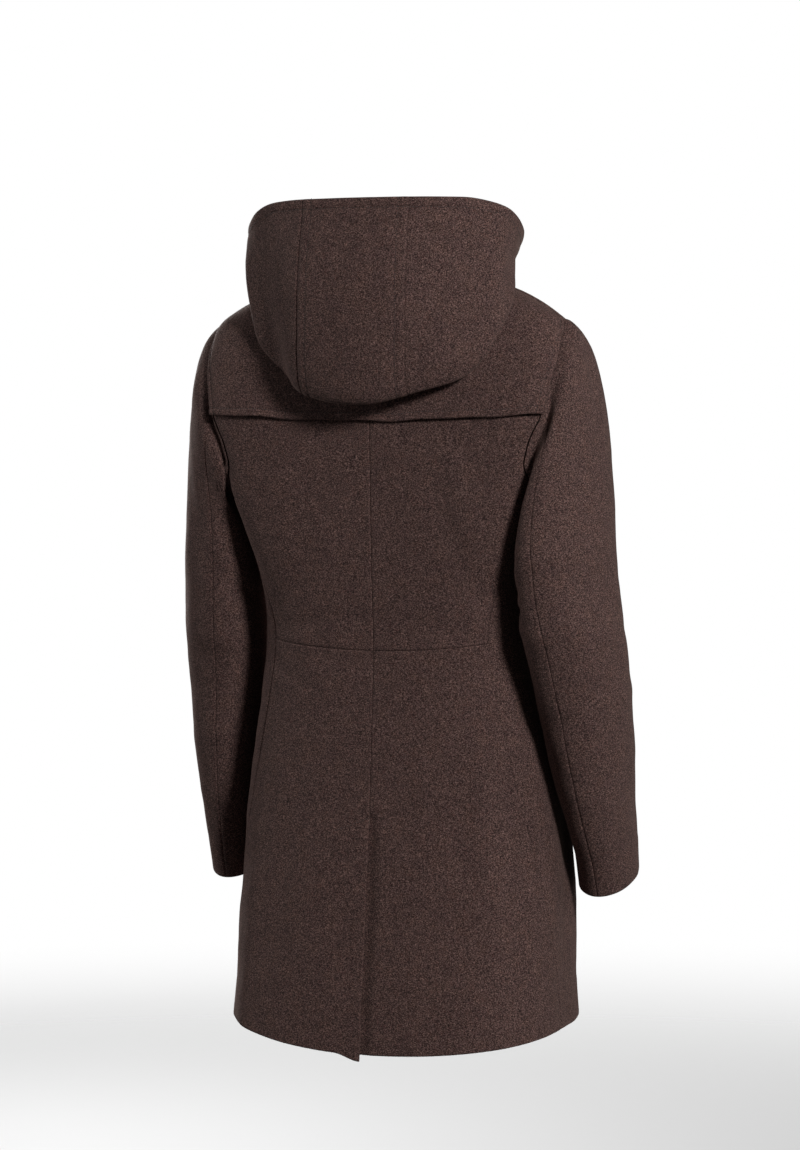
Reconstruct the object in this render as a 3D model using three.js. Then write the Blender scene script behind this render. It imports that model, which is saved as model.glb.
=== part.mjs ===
import * as THREE from "three";

// A thigh-length wool duffle coat, worn: hood down, arms hanging, fronts closed.
// Millimetres, +Z up, the front faces -Y and the wearer's left is +X.
// The origin lies midway between the shoulders, where the coat is carried.

// Cloth and gaps
const CLOTH = 3;
const YOKE_CLOTH = 2.4;
const SEAM_GAP = 0.3;
const LAY_GAP = 0.4;

// Seams and edges, as levels: the height of the centre back at that ring
const HEM = -823;
const WAIST = -396;
const WAIST_RISE = 9;
const WAIST_BLEND = 60;
const YOKE_EDGE = -151;
const UNDERARM = -238;
const SHOULDER_END = -50;
const NECK = 8;

// Vent at the centre back
const VENT_TOP = -574;
const VENT_SLANT = 16;
const VENT_UNDERLAP = 40;
const VENT_EASE = 18;
const VENT_FADE = 8;
const VENT_CORNER_DROP = 7;
const VENT_CORNER_WIDTH = 30;
const VENT_CORNER_FROM = -760;
const VENT_CORNER_PROUD = 0.16;

// The hem hangs a little lower on the right side
const HEM_DIP = 9;
const HEM_DIP_FROM = -632;

// Front edges, each past the centre front
const FRONT_WRAP = 25;
const FRONT_EASE = 20;
const NECK_EASE = 1.6;

// Hood
const HOOD_STRIP = 0.157;
const HOOD_SEAM = 0.8;
const HOOD_LIFT = 7;
const HOOD_REST = 6.5;
const RIM_SAG = 14;
const RIM_SAG_AT = 0.44;
const RIM_SAG_WIDTH = 0.13;

// Closures
const CLOSURE_LEVELS = [-150, -262, -374, -486];
const TOGGLE_LENGTH = 54;
const TOGGLE_RADIUS = 7.5;
const TOGGLE_WAIST = 5.4;
const TOGGLE_AT = 6;
const CORD_RADIUS = 2.1;
const PATCH_THICK = 1.8;
const PATCH_HEIGHT = 34;
const PATCH_LAY = 0.7;
const PATCH_RIGHT = { from: -66, to: -36 };
const PATCH_LEFT = { from: 48, to: 78 };

// Rings of the body: heights at back, side and front, half width, then depths and squareness
const BODY = table("level sideZ frontZ half sideY backY frontY backN frontN", [
  [-823, -797, -765, 186, 5, 163, -150, 2.9, 2.3],
  [-765, -744, -712, 184, 6, 156, -148, 2.8, 2.3],
  [-701, -686, -660, 184, 8, 148, -144, 2.6, 2.3],
  [-632, -622, -600, 181, 8, 139, -139, 2.5, 2.3],
  [-574, -567, -552, 177, 9, 132, -134, 2.5, 2.3],
  [-510, -506, -496, 169, 10, 127, -128, 2.6, 2.3],
  [-447, -445, -440, 157, 12, 123, -119, 2.8, 2.2],
  [-388, -388, -386, 150, 15, 121, -112, 3.0, 2.2],
  [-341, -341, -340, 148, 20, 124, -114, 3.5, 2.2],
  [-296, -296, -296, 154, 27, 128, -119, 4.5, 2.3],
  [-264, -264, -264, 162, 33, 129, -123, 5.5, 2.4],
  [-238, -238, -238, 169, 40, 130, -124, 6.2, 2.5],
  [-209, -207, -212, 176, 46, 131, -122, 6.5, 2.5],
  [-183, -178, -190, 184, 50, 132, -117, 6.5, 2.5],
  [-154, -146, -166, 196, 52, 133, -110, 6.0, 2.5],
  [-120, -108, -140, 201, 55, 130, -101, 5.0, 2.5],
  [-84, -70, -116, 199, 56, 124, -89, 4.0, 2.4],
  [-50, -41, -98, 188, 56, 114, -77, 3.0, 2.3],
  [-27, -21, -88, 155, 53, 106, -65, 2.5, 2.2],
  [-9, -2, -80, 112, 48, 99, -50, 2.2, 2.1],
  [2, 12, -74, 85, 42, 94, -38, 2.1, 2.0],
  [8, 20, -70, 74, 38, 90, -30, 2.0, 2.0],
]);

// The seam between back and front on each side: 0 is centre back, 1 the side, 2 centre front
const SIDE_SEAM = table("level q", [
  [-823, 0.9],
  [-765, 0.87],
  [-632, 0.74],
  [-510, 0.64],
  [-388, 0.585],
  [-325, 0.66],
  [-280, 0.82],
  [-238, 1.0],
]);

// The armhole, underarm to shoulder: its two edges, and how far round the sleeve each point runs on
const ARMHOLE = table("level backQ frontQ backTurn frontTurn", [
  [-238, 1.0, 1.0, 0, 0],
  [-233, 0.89, 1.1, 0.06, 0.045],
  [-222, 0.78, 1.18, 0.112, 0.085],
  [-207, 0.71, 1.23, 0.152, 0.125],
  [-183, 0.703, 1.25, 0.195, 0.185],
  [-151, 0.738, 1.245, 0.252, 0.25],
  [-120, 0.785, 1.215, 0.317, 0.315],
  [-90, 0.855, 1.15, 0.385, 0.385],
  [-66, 0.93, 1.07, 0.447, 0.445],
  [-50, 1.0, 1.0, 0.5, 0.5],
]);
const BACK_SEAM_AT = 5;
const FRONT_SEAM_AT = 3;
const SLEEVE_SEAM_GAP = 0.0045;

// How the sleeve head leaves the armhole and reaches the first arm ring, underarm to shoulder
const SLEEVE_HEAD = table("turn outX outY outZ endX endY endZ", [
  [0, 6, 0, -2, 2, 0, 25],
  [0.12, 12, 6, -14, 2, 3, 45],
  [0.25, 17, 8, -24, 0, 4, 85],
  [0.36, 28, 4, -12, -5, 2, 125],
  [0.5, 38, 0, 2, -9, 0, 158],
]);

// Rings of the sleeves, cuff to armhole: centre, half sizes, how far the back of the ring
// leans to the body, and the cuff's tilt. The left arm hangs further forward
const ARM_COLUMNS = "z x y halfX halfY skew tilt";
const LEFT_ARM = table(ARM_COLUMNS, [
  [-648, 217, -40, 31, 50, 0, 0.34],
  [-620, 217.5, -31, 31.5, 51, 1, 0.3],
  [-560, 217.5, -13, 36, 55, 4, 0.2],
  [-493, 216, -2, 42, 59, 7, 0.09],
  [-430, 214, 7, 46, 61, 9, 0.03],
  [-384, 212, 19, 48, 63, 11, 0],
  [-340, 210.5, 25, 47, 65, 12, 0],
  [-290, 210, 31, 45, 66, 14, 0],
]);
const RIGHT_ARM = table(ARM_COLUMNS, [
  [-648, 217, -40, 31, 50, 0, 0.34],
  [-620, 217.5, -28, 31.5, 51, 1, 0.3],
  [-560, 215.5, -1, 35.5, 55, 5, 0.2],
  [-493, 213, 23, 41.5, 59, 10, 0.09],
  [-430, 209.5, 43, 44.5, 61, 13, 0.03],
  [-384, 206.5, 59, 45.5, 63, 16, 0],
  [-340, 202, 66, 42.5, 65, 18, 0],
  [-290, 201, 73, 40, 66, 20, 0],
]);
const HEAD_END = -290;

// The hood, centre back to centre front: its rim, the swell below it, the fold it hangs in,
// the neck seam, and the foot where it leaves the back
const HOOD = table(
  "u rimX rimY rimZ outX outY outZ foldX foldY foldZ shift neckQ footQ footLevel",
  [
    [0, 0, 178, 82, 0, 193, -25, 0, 167, -134, -7, 0, 0, -104],
    [0.15, 57, 173, 82, 58, 184, -20, 57, 158, -124, -5, 0.25, 0.22, -96],
    [0.3, 112, 148, 82, 111, 152, -8, 104, 140, -99, 8, 0.5, 0.43, -76],
    [0.42, 146, 110, 73, 146, 122, 8, 135, 126, -62, 7, 0.75, 0.62, -46],
    [0.52, 153, 75, 57, 146, 88, 20, 147, 98, -22, 3, 1.0, 0.82, -22],
    [0.65, 134, 20, 40, 128, 28, 26, 120, 34, 4, 0, 1.3, 1.12, -8],
    [0.8, 100, -30, 2, 95, -27, -9, 88, -23, -24, 0, 1.6, 1.5, -2],
    [0.92, 55, -60, -42, 51, -58, -50, 46, -54, -60, 0, 1.82, 1.79, 2],
    [1, 18, -58, -64, 17, -56, -67, 16, -52, -71, 0, 1.93, 1.92, 4],
  ],
);

// Grid lines
const SHARED_ROWS = ARMHOLE.map((row) => row.level);
const TOP_ROWS = [-27, -9, 2, NECK];
const BODICE_ROWS = [WAIST, -372, -341, -310, -280, -258, ...SHARED_ROWS, ...TOP_ROWS];
const SKIRT_ROWS = [
  HEM, -796, -765, -722, -680, -640, -608, VENT_TOP - VENT_SLANT, VENT_TOP - VENT_FADE, VENT_TOP,
  VENT_TOP + VENT_FADE, -540, -510, -478, -447, -420, WAIST,
];
const FRONT_ROWS = [
  HEM, -796, -765, -722, -680, -640, -608, VENT_TOP, -540, -510, -478, -447,
  ...[-420, WAIST, -372].map((level) => waistLevel(level, 1)),
  -341, -310, -280, -258, ...SHARED_ROWS, ...TOP_ROWS,
];
const BACK_COLUMNS = [0, 0.12, 0.26, 0.4, 0.54, 0.68, 0.8, 0.9, 1];
const SIDE_COLUMNS = [0, 0.13, 0.27, 0.42, 0.58, 0.75, 0.9, 1];
const LAP_COLUMNS = [FRONT_WRAP + FRONT_EASE, FRONT_WRAP + 9, FRONT_WRAP, 8, -8, -FRONT_WRAP];
const HEAD_ROWS = [0, 0.1, 0.24, 0.4, 0.58, 0.78];
const ARM_ROWS = [-290, -322, -354, -384, -408, -430, -455, -493, -528, -560, -590, -620, -648];
const HOOD_ROWS = [0, 0.5, 1, 1.5, 2, 2.5, 3, 3.5, 4, 4.35, 4.7, 5, 5.35, 5.7, 6, 6.5, 7];
const HOOD_STRIP_COLUMNS = [-1, -0.66, -0.33, 0, 0.33, 0.66, 1];
const HOOD_SIDE_COLUMNS = [0.22, 0.28, 0.33, 0.38, 0.43, 0.48, 0.53, 0.6, 0.68, 0.77, 0.85, 0.93, 1];

// Materials
const WOOL = new THREE.MeshStandardMaterial({ color: 0x4a3632, roughness: 0.95, metalness: 0 });
const WOOD = new THREE.MeshStandardMaterial({ color: 0x3a261a, roughness: 0.45, metalness: 0 });
const LEATHER = new THREE.MeshStandardMaterial({ color: 0x2b1d18, roughness: 0.6, metalness: 0 });
const CORD = new THREE.MeshStandardMaterial({ color: 0x2e211c, roughness: 0.85, metalness: 0 });

// Rows of values as objects with named columns
function table(columns, rows) {
  const names = columns.split(" ");
  return rows.map((row) => Object.fromEntries(names.map((name, i) => [name, row[i]])));
}

// A column's value at a key, on a smooth curve through the rows that doesn't overshoot them
function read(rows, key, column, at) {
  const last = rows.length - 1;
  const x = Math.min(Math.max(at, rows[0][key]), rows[last][key]);
  let i = 0;
  while (i < last - 1 && x > rows[i + 1][key]) i++;
  const step = (j) => rows[j + 1][key] - rows[j][key];
  const rise = (j) => (rows[j + 1][column] - rows[j][column]) / step(j);
  const slope = (j) => {
    if (j === 0) return rise(0);
    if (j === last) return rise(last - 1);
    const before = rise(j - 1);
    const after = rise(j);
    if (before * after <= 0) return 0;
    return (before * step(j) + after * step(j - 1)) / (step(j) + step(j - 1));
  };
  const width = step(i);
  const t = (x - rows[i][key]) / width;
  return hermite(rows[i][column], rows[i + 1][column], slope(i) * width, slope(i + 1) * width, t);
}

function hermite(a, b, slopeA, slopeB, t) {
  const t2 = t * t;
  const t3 = t2 * t;
  return (2 * t3 - 3 * t2 + 1) * a + (3 * t2 - 2 * t3) * b
    + (t3 - 2 * t2 + t) * slopeA + (t3 - t2) * slopeB;
}

function smooth(t) {
  const x = Math.min(Math.max(t, 0), 1);
  return x * x * (3 - 2 * x);
}

// The ring at a level: its named values, and its back and front quarters measured along the cloth
const ARC_STEPS = 64;
const rings = new Map();
function ring(level) {
  const key = level.toFixed(4);
  if (rings.has(key)) return rings.get(key);
  const at = { level: Math.min(Math.max(level, HEM), NECK) };
  for (const column of Object.keys(BODY[0]).slice(1)) at[column] = read(BODY, "level", column, level);
  at.back = quarter(at.half, at.backY - at.sideY, at.backN);
  at.front = quarter(at.half, at.sideY - at.frontY, at.frontN);
  rings.set(key, at);
  return at;
}

function quarter(half, depth, squareness) {
  const xs = [];
  const ys = [];
  const along = [0];
  for (let i = 0; i <= ARC_STEPS; i++) {
    const angle = (Math.PI / 2) * (i / ARC_STEPS);
    xs.push(half * Math.sin(angle) ** (2 / squareness));
    ys.push(depth * Math.abs(Math.cos(angle)) ** (2 / squareness));
    if (i > 0) along.push(along[i - 1] + Math.hypot(xs[i] - xs[i - 1], ys[i] - ys[i - 1]));
  }
  return { xs, ys, along, length: along[ARC_STEPS] };
}

function onQuarter({ xs, ys, along, length }, part) {
  const distance = Math.min(Math.max(part, 0), 1) * length;
  let i = 1;
  while (i < ARC_STEPS && along[i] < distance) i++;
  const t = (distance - along[i - 1]) / (along[i] - along[i - 1]);
  return [xs[i - 1] + (xs[i] - xs[i - 1]) * t, ys[i - 1] + (ys[i] - ys[i - 1]) * t];
}

// The outer face of the coat's body. q runs round it: 0 centre back, 1 and -1 the sides,
// 2 and -2 centre front, and on past it
function body(q, level) {
  const at = ring(level);
  let side = q >= 0 ? 1 : -1;
  let part = Math.abs(q);
  if (part > 2) {
    side = -side;
    part = 4 - part;
  }
  const behind = part <= 1;
  const [x, y] = behind ? onQuarter(at.back, part) : onQuarter(at.front, 2 - part);
  const toSide = Math.sin((Math.PI / 2) * part) ** 2;
  const middle = behind ? at.level : at.frontZ;
  const dip = side < 0 ? HEM_DIP * smooth((HEM_DIP_FROM - at.level) / (HEM_DIP_FROM - HEM)) : 0;
  return new THREE.Vector3(
    side * x,
    behind ? at.sideY + y : at.sideY - y,
    middle + (at.sideZ - dip - middle) * toSide,
  );
}

const DQ = 0.01;
const DLEVEL = 2;
function bodyUp(q, level) {
  return body(q, level + DLEVEL).sub(body(q, level - DLEVEL)).normalize();
}

function bodyOut(q, level) {
  const across = body(q + DQ, level).sub(body(q - DQ, level));
  return bodyUp(q, level).cross(across).normalize();
}

// A point a given distance outside the body
function over(q, level, out) {
  return body(q, level).addScaledVector(bodyOut(q, level), out);
}

// One millimetre along the cloth, as a share of a quarter of the ring
function perBack(level) {
  return 1 / ring(level).back.length;
}

function perFront(level) {
  return 1 / ring(level).front.length;
}

// Closed solids from a grid of outer points and one of inner points
function wall(outer, inner) {
  const rows = outer.length;
  const columns = outer[0].length;
  const positions = [...outer.flat(), ...inner.flat()].flatMap((p) => [p.x, p.y, p.z]);
  const face = (r, c) => r * columns + c;
  const lining = (r, c) => rows * columns + face(r, c);
  const index = [];
  const quad = (a, b, c, d) => index.push(a, b, c, a, c, d);
  for (let r = 0; r < rows - 1; r++) {
    for (let c = 0; c < columns - 1; c++) {
      quad(face(r, c), face(r, c + 1), face(r + 1, c + 1), face(r + 1, c));
      index.push(lining(r, c), lining(r + 1, c + 1), lining(r, c + 1));
      index.push(lining(r, c), lining(r + 1, c), lining(r + 1, c + 1));
    }
  }
  for (let c = 0; c < columns - 1; c++) {
    quad(face(0, c), lining(0, c), lining(0, c + 1), face(0, c + 1));
    const top = rows - 1;
    quad(face(top, c), face(top, c + 1), lining(top, c + 1), lining(top, c));
  }
  for (let r = 0; r < rows - 1; r++) {
    quad(face(r, 0), face(r + 1, 0), lining(r + 1, 0), lining(r, 0));
    const end = columns - 1;
    quad(face(r, end), lining(r, end), lining(r + 1, end), face(r + 1, end));
  }
  return closed(positions, index);
}

function closed(positions, index) {
  if (volume(positions, index) < 0) {
    for (let i = 0; i < index.length; i += 3) {
      [index[i + 1], index[i + 2]] = [index[i + 2], index[i + 1]];
    }
  }
  const geometry = new THREE.BufferGeometry();
  geometry.setAttribute("position", new THREE.Float32BufferAttribute(positions, 3));
  geometry.setIndex(index);
  geometry.computeVertexNormals();
  return geometry;
}

function volume(positions, index) {
  const corner = (i) => new THREE.Vector3().fromArray(positions, 3 * index[i]);
  let sum = 0;
  for (let i = 0; i < index.length; i += 3) {
    sum += corner(i).dot(corner(i + 1).cross(corner(i + 2))) / 6;
  }
  return sum;
}

// A panel of the body: places gives each row's points as { q, level, out, drop }
function bodyPanel(places, thick) {
  const at = ({ q, level, out = 0, drop = 0 }, inward) => {
    const p = over(q, level, out - inward);
    p.z -= drop;
    return p;
  };
  return wall(
    places.map((row) => row.map((place) => at(place, 0))),
    places.map((row) => row.map((place) => at(place, thick))),
  );
}

// The waist seam rises towards the sides, and the rows near it follow
function waistLevel(level, share) {
  const near = Math.max(0, 1 - Math.abs(level - WAIST) / WAIST_BLEND);
  return level + WAIST_RISE * share * share * near;
}

function backEdge(level) {
  if (level <= UNDERARM) return read(SIDE_SEAM, "level", "q", level);
  return level < SHOULDER_END ? read(ARMHOLE, "level", "backQ", level) : 1;
}

function frontEdge(level) {
  if (level <= UNDERARM) return read(SIDE_SEAM, "level", "q", level);
  return level < SHOULDER_END ? read(ARMHOLE, "level", "frontQ", level) : 1;
}

// Seams are opened by half the gap on each side, and the armhole only on the sleeve's side
function seamShare(level) {
  return level < UNDERARM || level >= SHOULDER_END ? SEAM_GAP / 2 : 0;
}

// Upper back: waist to neck, centre back to side seam, armhole and shoulder
function backRow(level, side, from, to, options = {}) {
  return BACK_COLUMNS.map((share) => ({ q: side * (from + (to - from) * share), level, ...options }));
}

function backSpan(level) {
  const edge = waistLevel(level, 1);
  return [(SEAM_GAP / 2) * perBack(level), backEdge(edge) - seamShare(edge) * perBack(edge)];
}

function upperBack(side) {
  const places = BODICE_ROWS.map((base) => {
    const level = base === WAIST ? WAIST + SEAM_GAP / 2 : base;
    const [from, to] = backSpan(level);
    return backRow(level, side, from, to).map((place, i) => ({
      ...place,
      level: waistLevel(level, BACK_COLUMNS[i]),
    }));
  });
  return bodyPanel(places, CLOTH);
}

// The yoke lies on both halves of the upper back, on the same grid lines
function yoke() {
  const places = BODICE_ROWS.filter((level) => level >= YOKE_EDGE).map((level) => {
    const [from, to] = backSpan(level);
    const lift = { out: LAY_GAP + YOKE_CLOTH };
    const right = backRow(level, -1, from, to, lift).reverse();
    return [...right, ...backRow(level, 1, from, to, lift)];
  });
  return bodyPanel(places, YOKE_CLOTH);
}

// Back skirts. Below the vent top the right one carries on under the left one
function ventDepth(level, distance) {
  const below = smooth((VENT_TOP + VENT_FADE - level) / VENT_FADE);
  return (CLOTH + LAY_GAP) * below * smooth((VENT_EASE - distance) / (VENT_EASE - 1));
}

function skirtLeft() {
  const places = SKIRT_ROWS.map((base) => {
    const level = base === WAIST ? WAIST - SEAM_GAP / 2 : base;
    const [from, to] = backSpan(level);
    return backRow(level, 1, from, to).map((place, i) => {
      const distance = place.q * ring(level).back.length;
      const across = smooth(1 - distance / VENT_CORNER_WIDTH);
      const down = smooth((VENT_CORNER_FROM - level) / (VENT_CORNER_FROM - HEM));
      const drop = VENT_CORNER_DROP * across * down;
      return { ...place, level: waistLevel(level, BACK_COLUMNS[i]), drop, out: VENT_CORNER_PROUD * drop };
    });
  });
  return bodyPanel(places, CLOTH);
}

function skirtRight() {
  const places = SKIRT_ROWS.map((base) => {
    const level = base === WAIST ? WAIST - SEAM_GAP / 2 : base;
    const mm = perBack(level);
    const [from, to] = backSpan(level);
    const lap = VENT_UNDERLAP * Math.min(Math.max((VENT_TOP - level) / VENT_SLANT, 0), 1);
    const under = [1, 0.5].map((part) => -lap * part * mm + from);
    const ease = [0, VENT_EASE / 3, (2 * VENT_EASE) / 3].map((distance) => from + distance * mm);
    const plain = BACK_COLUMNS.map((share) => from + VENT_EASE * mm + (to - from - VENT_EASE * mm) * share);
    const spaced = lap === 0 ? [from, from + 1.5 * mm, from + 3 * mm] : [...under, ease[0]];
    return [...spaced, ease[1], ease[2], ...plain].map((q) => ({
      q: -q,
      level: waistLevel(level, Math.max(q, 0) / to),
      out: -ventDepth(level, q / mm),
    }));
  });
  return bodyPanel(places, CLOTH);
}

// Fronts, each with its side. The right one laps over the left one
function front(side, lies) {
  const places = FRONT_ROWS.map((level) => {
    const mm = perFront(level);
    const from = frontEdge(level) + seamShare(level) * mm;
    const to = 2 - LAP_COLUMNS[0] * mm;
    const plain = SIDE_COLUMNS.map((share) => ({ q: from + (to - from) * share, out: 0 }));
    const depth = lies === 0 ? 0 : lies + NECK_EASE * smooth((level - SHOULDER_END) / (NECK - SHOULDER_END));
    const lap = LAP_COLUMNS.slice(1).map((distance) => ({
      q: 2 - distance * mm,
      out: -depth * smooth((FRONT_WRAP + FRONT_EASE - distance) / (FRONT_EASE - 2)),
    }));
    return [...plain, ...lap].map(({ q, out }) => ({ q: side * q, level, out }));
  });
  return bodyPanel(places, CLOTH);
}

// Sleeves. k runs round the armhole by the rows of its table: 0 underarm, 9 shoulder, 18 underarm
const HALF = ARMHOLE.length - 1;
function armhole(k) {
  const behind = k <= HALF;
  const place = behind ? k : 2 * HALF - k;
  const i = Math.min(Math.floor(place), HALF - 1);
  const level = ARMHOLE[i].level + (ARMHOLE[i + 1].level - ARMHOLE[i].level) * (place - i);
  const q = read(ARMHOLE, "level", behind ? "backQ" : "frontQ", level);
  const turn = read(ARMHOLE, "level", behind ? "backTurn" : "frontTurn", level);
  return { behind, level, q, turn };
}

function armRing(side, turn, behind, z) {
  const at = (column) => read(side > 0 ? LEFT_ARM : RIGHT_ARM, "z", column, z);
  const angle = Math.PI - 2 * Math.PI * turn;
  const way = behind ? 1 : -1;
  const y = way * at("halfY") * Math.sin(angle);
  const x = at("x") + at("halfX") * Math.cos(angle) - at("skew") * way * Math.sin(angle);
  return new THREE.Vector3(side * x, at("y") + y, z - at("tilt") * y);
}

// s from 0 to 1 runs down the sleeve head, and from 1 on it is 1 plus the depth below it
function sleeve(side, k, s) {
  const { behind, level, q, turn } = armhole(k);
  if (s > 1) return armRing(side, turn, behind, HEAD_END - (s - 1));
  const start = body(side * q, level).add(armholeGap(side, k));
  const end = armRing(side, turn, behind, HEAD_END);
  const at = (column) => read(SLEEVE_HEAD, "turn", column, turn);
  const way = behind ? 1 : -1;
  const leave = new THREE.Vector3(side * at("outX"), way * at("outY"), at("outZ")).add(start);
  const arrive = new THREE.Vector3(side * at("endX"), way * at("endY"), at("endZ")).add(end);
  return new THREE.CubicBezierCurve3(start, leave, arrive, end).getPoint(s);
}

// Across the armhole, square to its edge and along the body's face
function intoArmhole(side, k) {
  const { level, q } = armhole(k);
  const step = 0.25;
  const edge = (place) => {
    const at = armhole((place + 2 * HALF) % (2 * HALF));
    return body(side * at.q, at.level);
  };
  const run = edge(k + step).sub(edge(k - step)).normalize();
  return bodyOut(side * q, level).cross(run).normalize().multiplyScalar(side);
}

function armholeGap(side, k) {
  return intoArmhole(side, k).multiplyScalar(SEAM_GAP + 0.05);
}

function sleeveIn(side, k, s) {
  const ds = s > 1 ? 2 : 0.01;
  const down = sleeve(side, k, Math.max(s, 0) + ds).sub(sleeve(side, k, Math.max(s - ds, 0)));
  const wrap = (place) => (place + 2 * HALF) % (2 * HALF);
  const round = sleeve(side, wrap(k + 0.2), s).sub(sleeve(side, wrap(k - 0.2), s));
  const inward = down.cross(round).normalize().multiplyScalar(side);
  if (s === 0) {
    const across = intoArmhole(side, k);
    inward.addScaledVector(across, Math.max(0, -inward.dot(across))).normalize();
  }
  return inward;
}

function sleevePart(side, from, to) {
  const columns = [];
  for (let k = from; k <= to; k++) columns.push(k);
  const lengths = [...HEAD_ROWS, ...ARM_ROWS.map((z) => 1 + HEAD_END - z)];
  const edges = columns.map((k, i) => {
    if (i === 0) return k + SLEEVE_SEAM_GAP;
    return i === columns.length - 1 ? k - SLEEVE_SEAM_GAP : k;
  });
  const outer = lengths.map((s) => edges.map((k) => sleeve(side, k % (2 * HALF), s)));
  const inner = lengths.map((s, r) => edges.map((k, c) => {
    const inward = sleeveIn(side, k % (2 * HALF), s);
    return outer[r][c].clone().addScaledVector(inward, CLOTH);
  }));
  return wall(outer, inner);
}

// Hood. u runs from the centre back to the front on each side, v from the neck seam to the rim
const HOOD_BOTH = [...HOOD.slice(1).reverse().map(mirrored), ...HOOD];
function mirrored(row) {
  const far = { ...row, u: -row.u };
  for (const column of ["rimX", "outX", "foldX", "neckQ", "footQ"]) far[column] = -row[column];
  return far;
}

function hoodLine(u) {
  const at = (column) => read(HOOD_BOTH, "u", column, u);
  const spot = (name, part) => new THREE.Vector3(
    at(name + "X") - at("shift") * part,
    at(name + "Y"),
    at(name + "Z"),
  );
  const neckQ = at("neckQ");
  const between = (part) => ({
    q: neckQ + (at("footQ") - neckQ) * part,
    level: NECK + (at("footLevel") - NECK) * part,
  });
  const rest = (part, out) => over(between(part).q, between(part).level, out);
  const seam = body(neckQ, NECK);
  const up = bodyUp(neckQ, NECK);
  const out = bodyOut(neckQ, NECK);
  return [
    seam.clone().addScaledVector(up, HOOD_SEAM),
    seam.clone().addScaledVector(up, HOOD_LIFT).addScaledVector(out, 2),
    rest(0.12, HOOD_REST + 3),
    rest(0.55, HOOD_REST),
    rest(1, HOOD_REST),
    spot("fold", 1),
    spot("out", 0.3),
    spot("rim", 0).setZ(at("rimZ") - RIM_SAG * Math.exp(-(((u - RIM_SAG_AT) / RIM_SAG_WIDTH) ** 2))),
  ];
}

function hoodPoint(u, v) {
  const points = hoodLine(u);
  const last = points.length - 1;
  const i = Math.min(Math.floor(v), last - 1);
  const gap = (j) => points[j + 1].distanceTo(points[j]);
  const slope = (j) => {
    const before = j > 0 ? points[j].clone().sub(points[j - 1]).divideScalar(gap(j - 1)) : null;
    const after = j < last ? points[j + 1].clone().sub(points[j]).divideScalar(gap(j)) : null;
    if (!before) return after;
    if (!after) return before;
    const share = gap(j - 1) / (gap(j - 1) + gap(j));
    return before.multiplyScalar(1 - share).addScaledVector(after, share);
  };
  const a = points[i];
  const b = points[i + 1];
  const slopeA = slope(i).multiplyScalar(gap(i));
  const slopeB = slope(i + 1).multiplyScalar(gap(i));
  const t = v - i;
  return new THREE.Vector3(
    hermite(a.x, b.x, slopeA.x, slopeB.x, t),
    hermite(a.y, b.y, slopeA.y, slopeB.y, t),
    hermite(a.z, b.z, slopeA.z, slopeB.z, t),
  );
}

function hoodIn(u, v) {
  const du = 0.004;
  const dv = 0.05;
  const across = hoodPoint(Math.min(u + du, 1), v).sub(hoodPoint(Math.max(u - du, -1), v));
  const along = hoodPoint(u, Math.min(v + dv, 7)).sub(hoodPoint(u, Math.max(v - dv, 0)));
  return across.cross(along).normalize();
}

function hoodPart(columns) {
  const outer = HOOD_ROWS.map((v) => columns.map((u) => hoodPoint(u, v)));
  const inner = HOOD_ROWS.map((v, r) => columns.map((u, c) => (
    outer[r][c].clone().addScaledVector(hoodIn(u, v), CLOTH)
  )));
  return wall(outer, inner);
}

const HOOD_GAP = 0.0005;
function hoodSide(side) {
  return hoodPart([HOOD_STRIP + HOOD_GAP, ...HOOD_SIDE_COLUMNS].map((u) => side * u));
}

function hoodStrip() {
  return hoodPart(HOOD_STRIP_COLUMNS.map((share) => share * (HOOD_STRIP - HOOD_GAP)));
}

// Closures. A place on the front: x across from the centre front, rise above the closure's level
function onFront(x, level, rise, out) {
  const q = 2 - Math.abs(x) * perFront(level + rise);
  return over(x >= 0 ? q : -q, level + rise, out);
}

function patch(level, { from, to }) {
  const across = [0, 0.25, 0.5, 0.75, 1].map((share) => from + (to - from) * share);
  const heights = [-0.5, -0.25, 0, 0.25, 0.5].map((share) => share * PATCH_HEIGHT);
  const at = (out) => heights.map((rise) => across.map((x) => onFront(x, level, rise, out)));
  return wall(at(PATCH_LAY + PATCH_THICK), at(PATCH_LAY));
}

function tube(points, radius, steps, sides) {
  const section = new THREE.Shape();
  for (let i = 0; i < sides; i++) {
    const angle = (2 * Math.PI * (i + 0.5)) / sides;
    const [x, y] = [radius * Math.cos(angle), radius * Math.sin(angle)];
    if (i === 0) section.moveTo(x, y);
    else section.lineTo(x, y);
  }
  section.closePath();
  const path = new THREE.CatmullRomCurve3(points, false, "centripetal");
  return new THREE.ExtrudeGeometry(section, { steps, bevelEnabled: false, extrudePath: path });
}

const CORD_LOW = CORD_RADIUS + 1;
const TOGGLE_HIGH = CORD_LOW + CORD_RADIUS + 0.5 + TOGGLE_RADIUS;

// The loop runs from the right patch's edge and passes over the toggle's waist
function loop(level) {
  const top = TOGGLE_HIGH + TOGGLE_WAIST + CORD_RADIUS + 0.7;
  const half = [
    [PATCH_RIGHT.to + SEAM_GAP, 7, CORD_LOW],
    [-26, 9, CORD_LOW + 0.3],
    [-14, 11, 6.4],
    [-2, 11.8, 9.5],
    [TOGGLE_AT, 8.8, top - 4.2],
  ];
  const up = half.map(([x, rise, out]) => onFront(x, level, rise, out));
  const down = half.map(([x, rise, out]) => onFront(x, level, -rise, out)).reverse();
  return tube([...up, onFront(TOGGLE_AT, level, 0, top), ...down], CORD_RADIUS, 22, 6);
}

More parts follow.
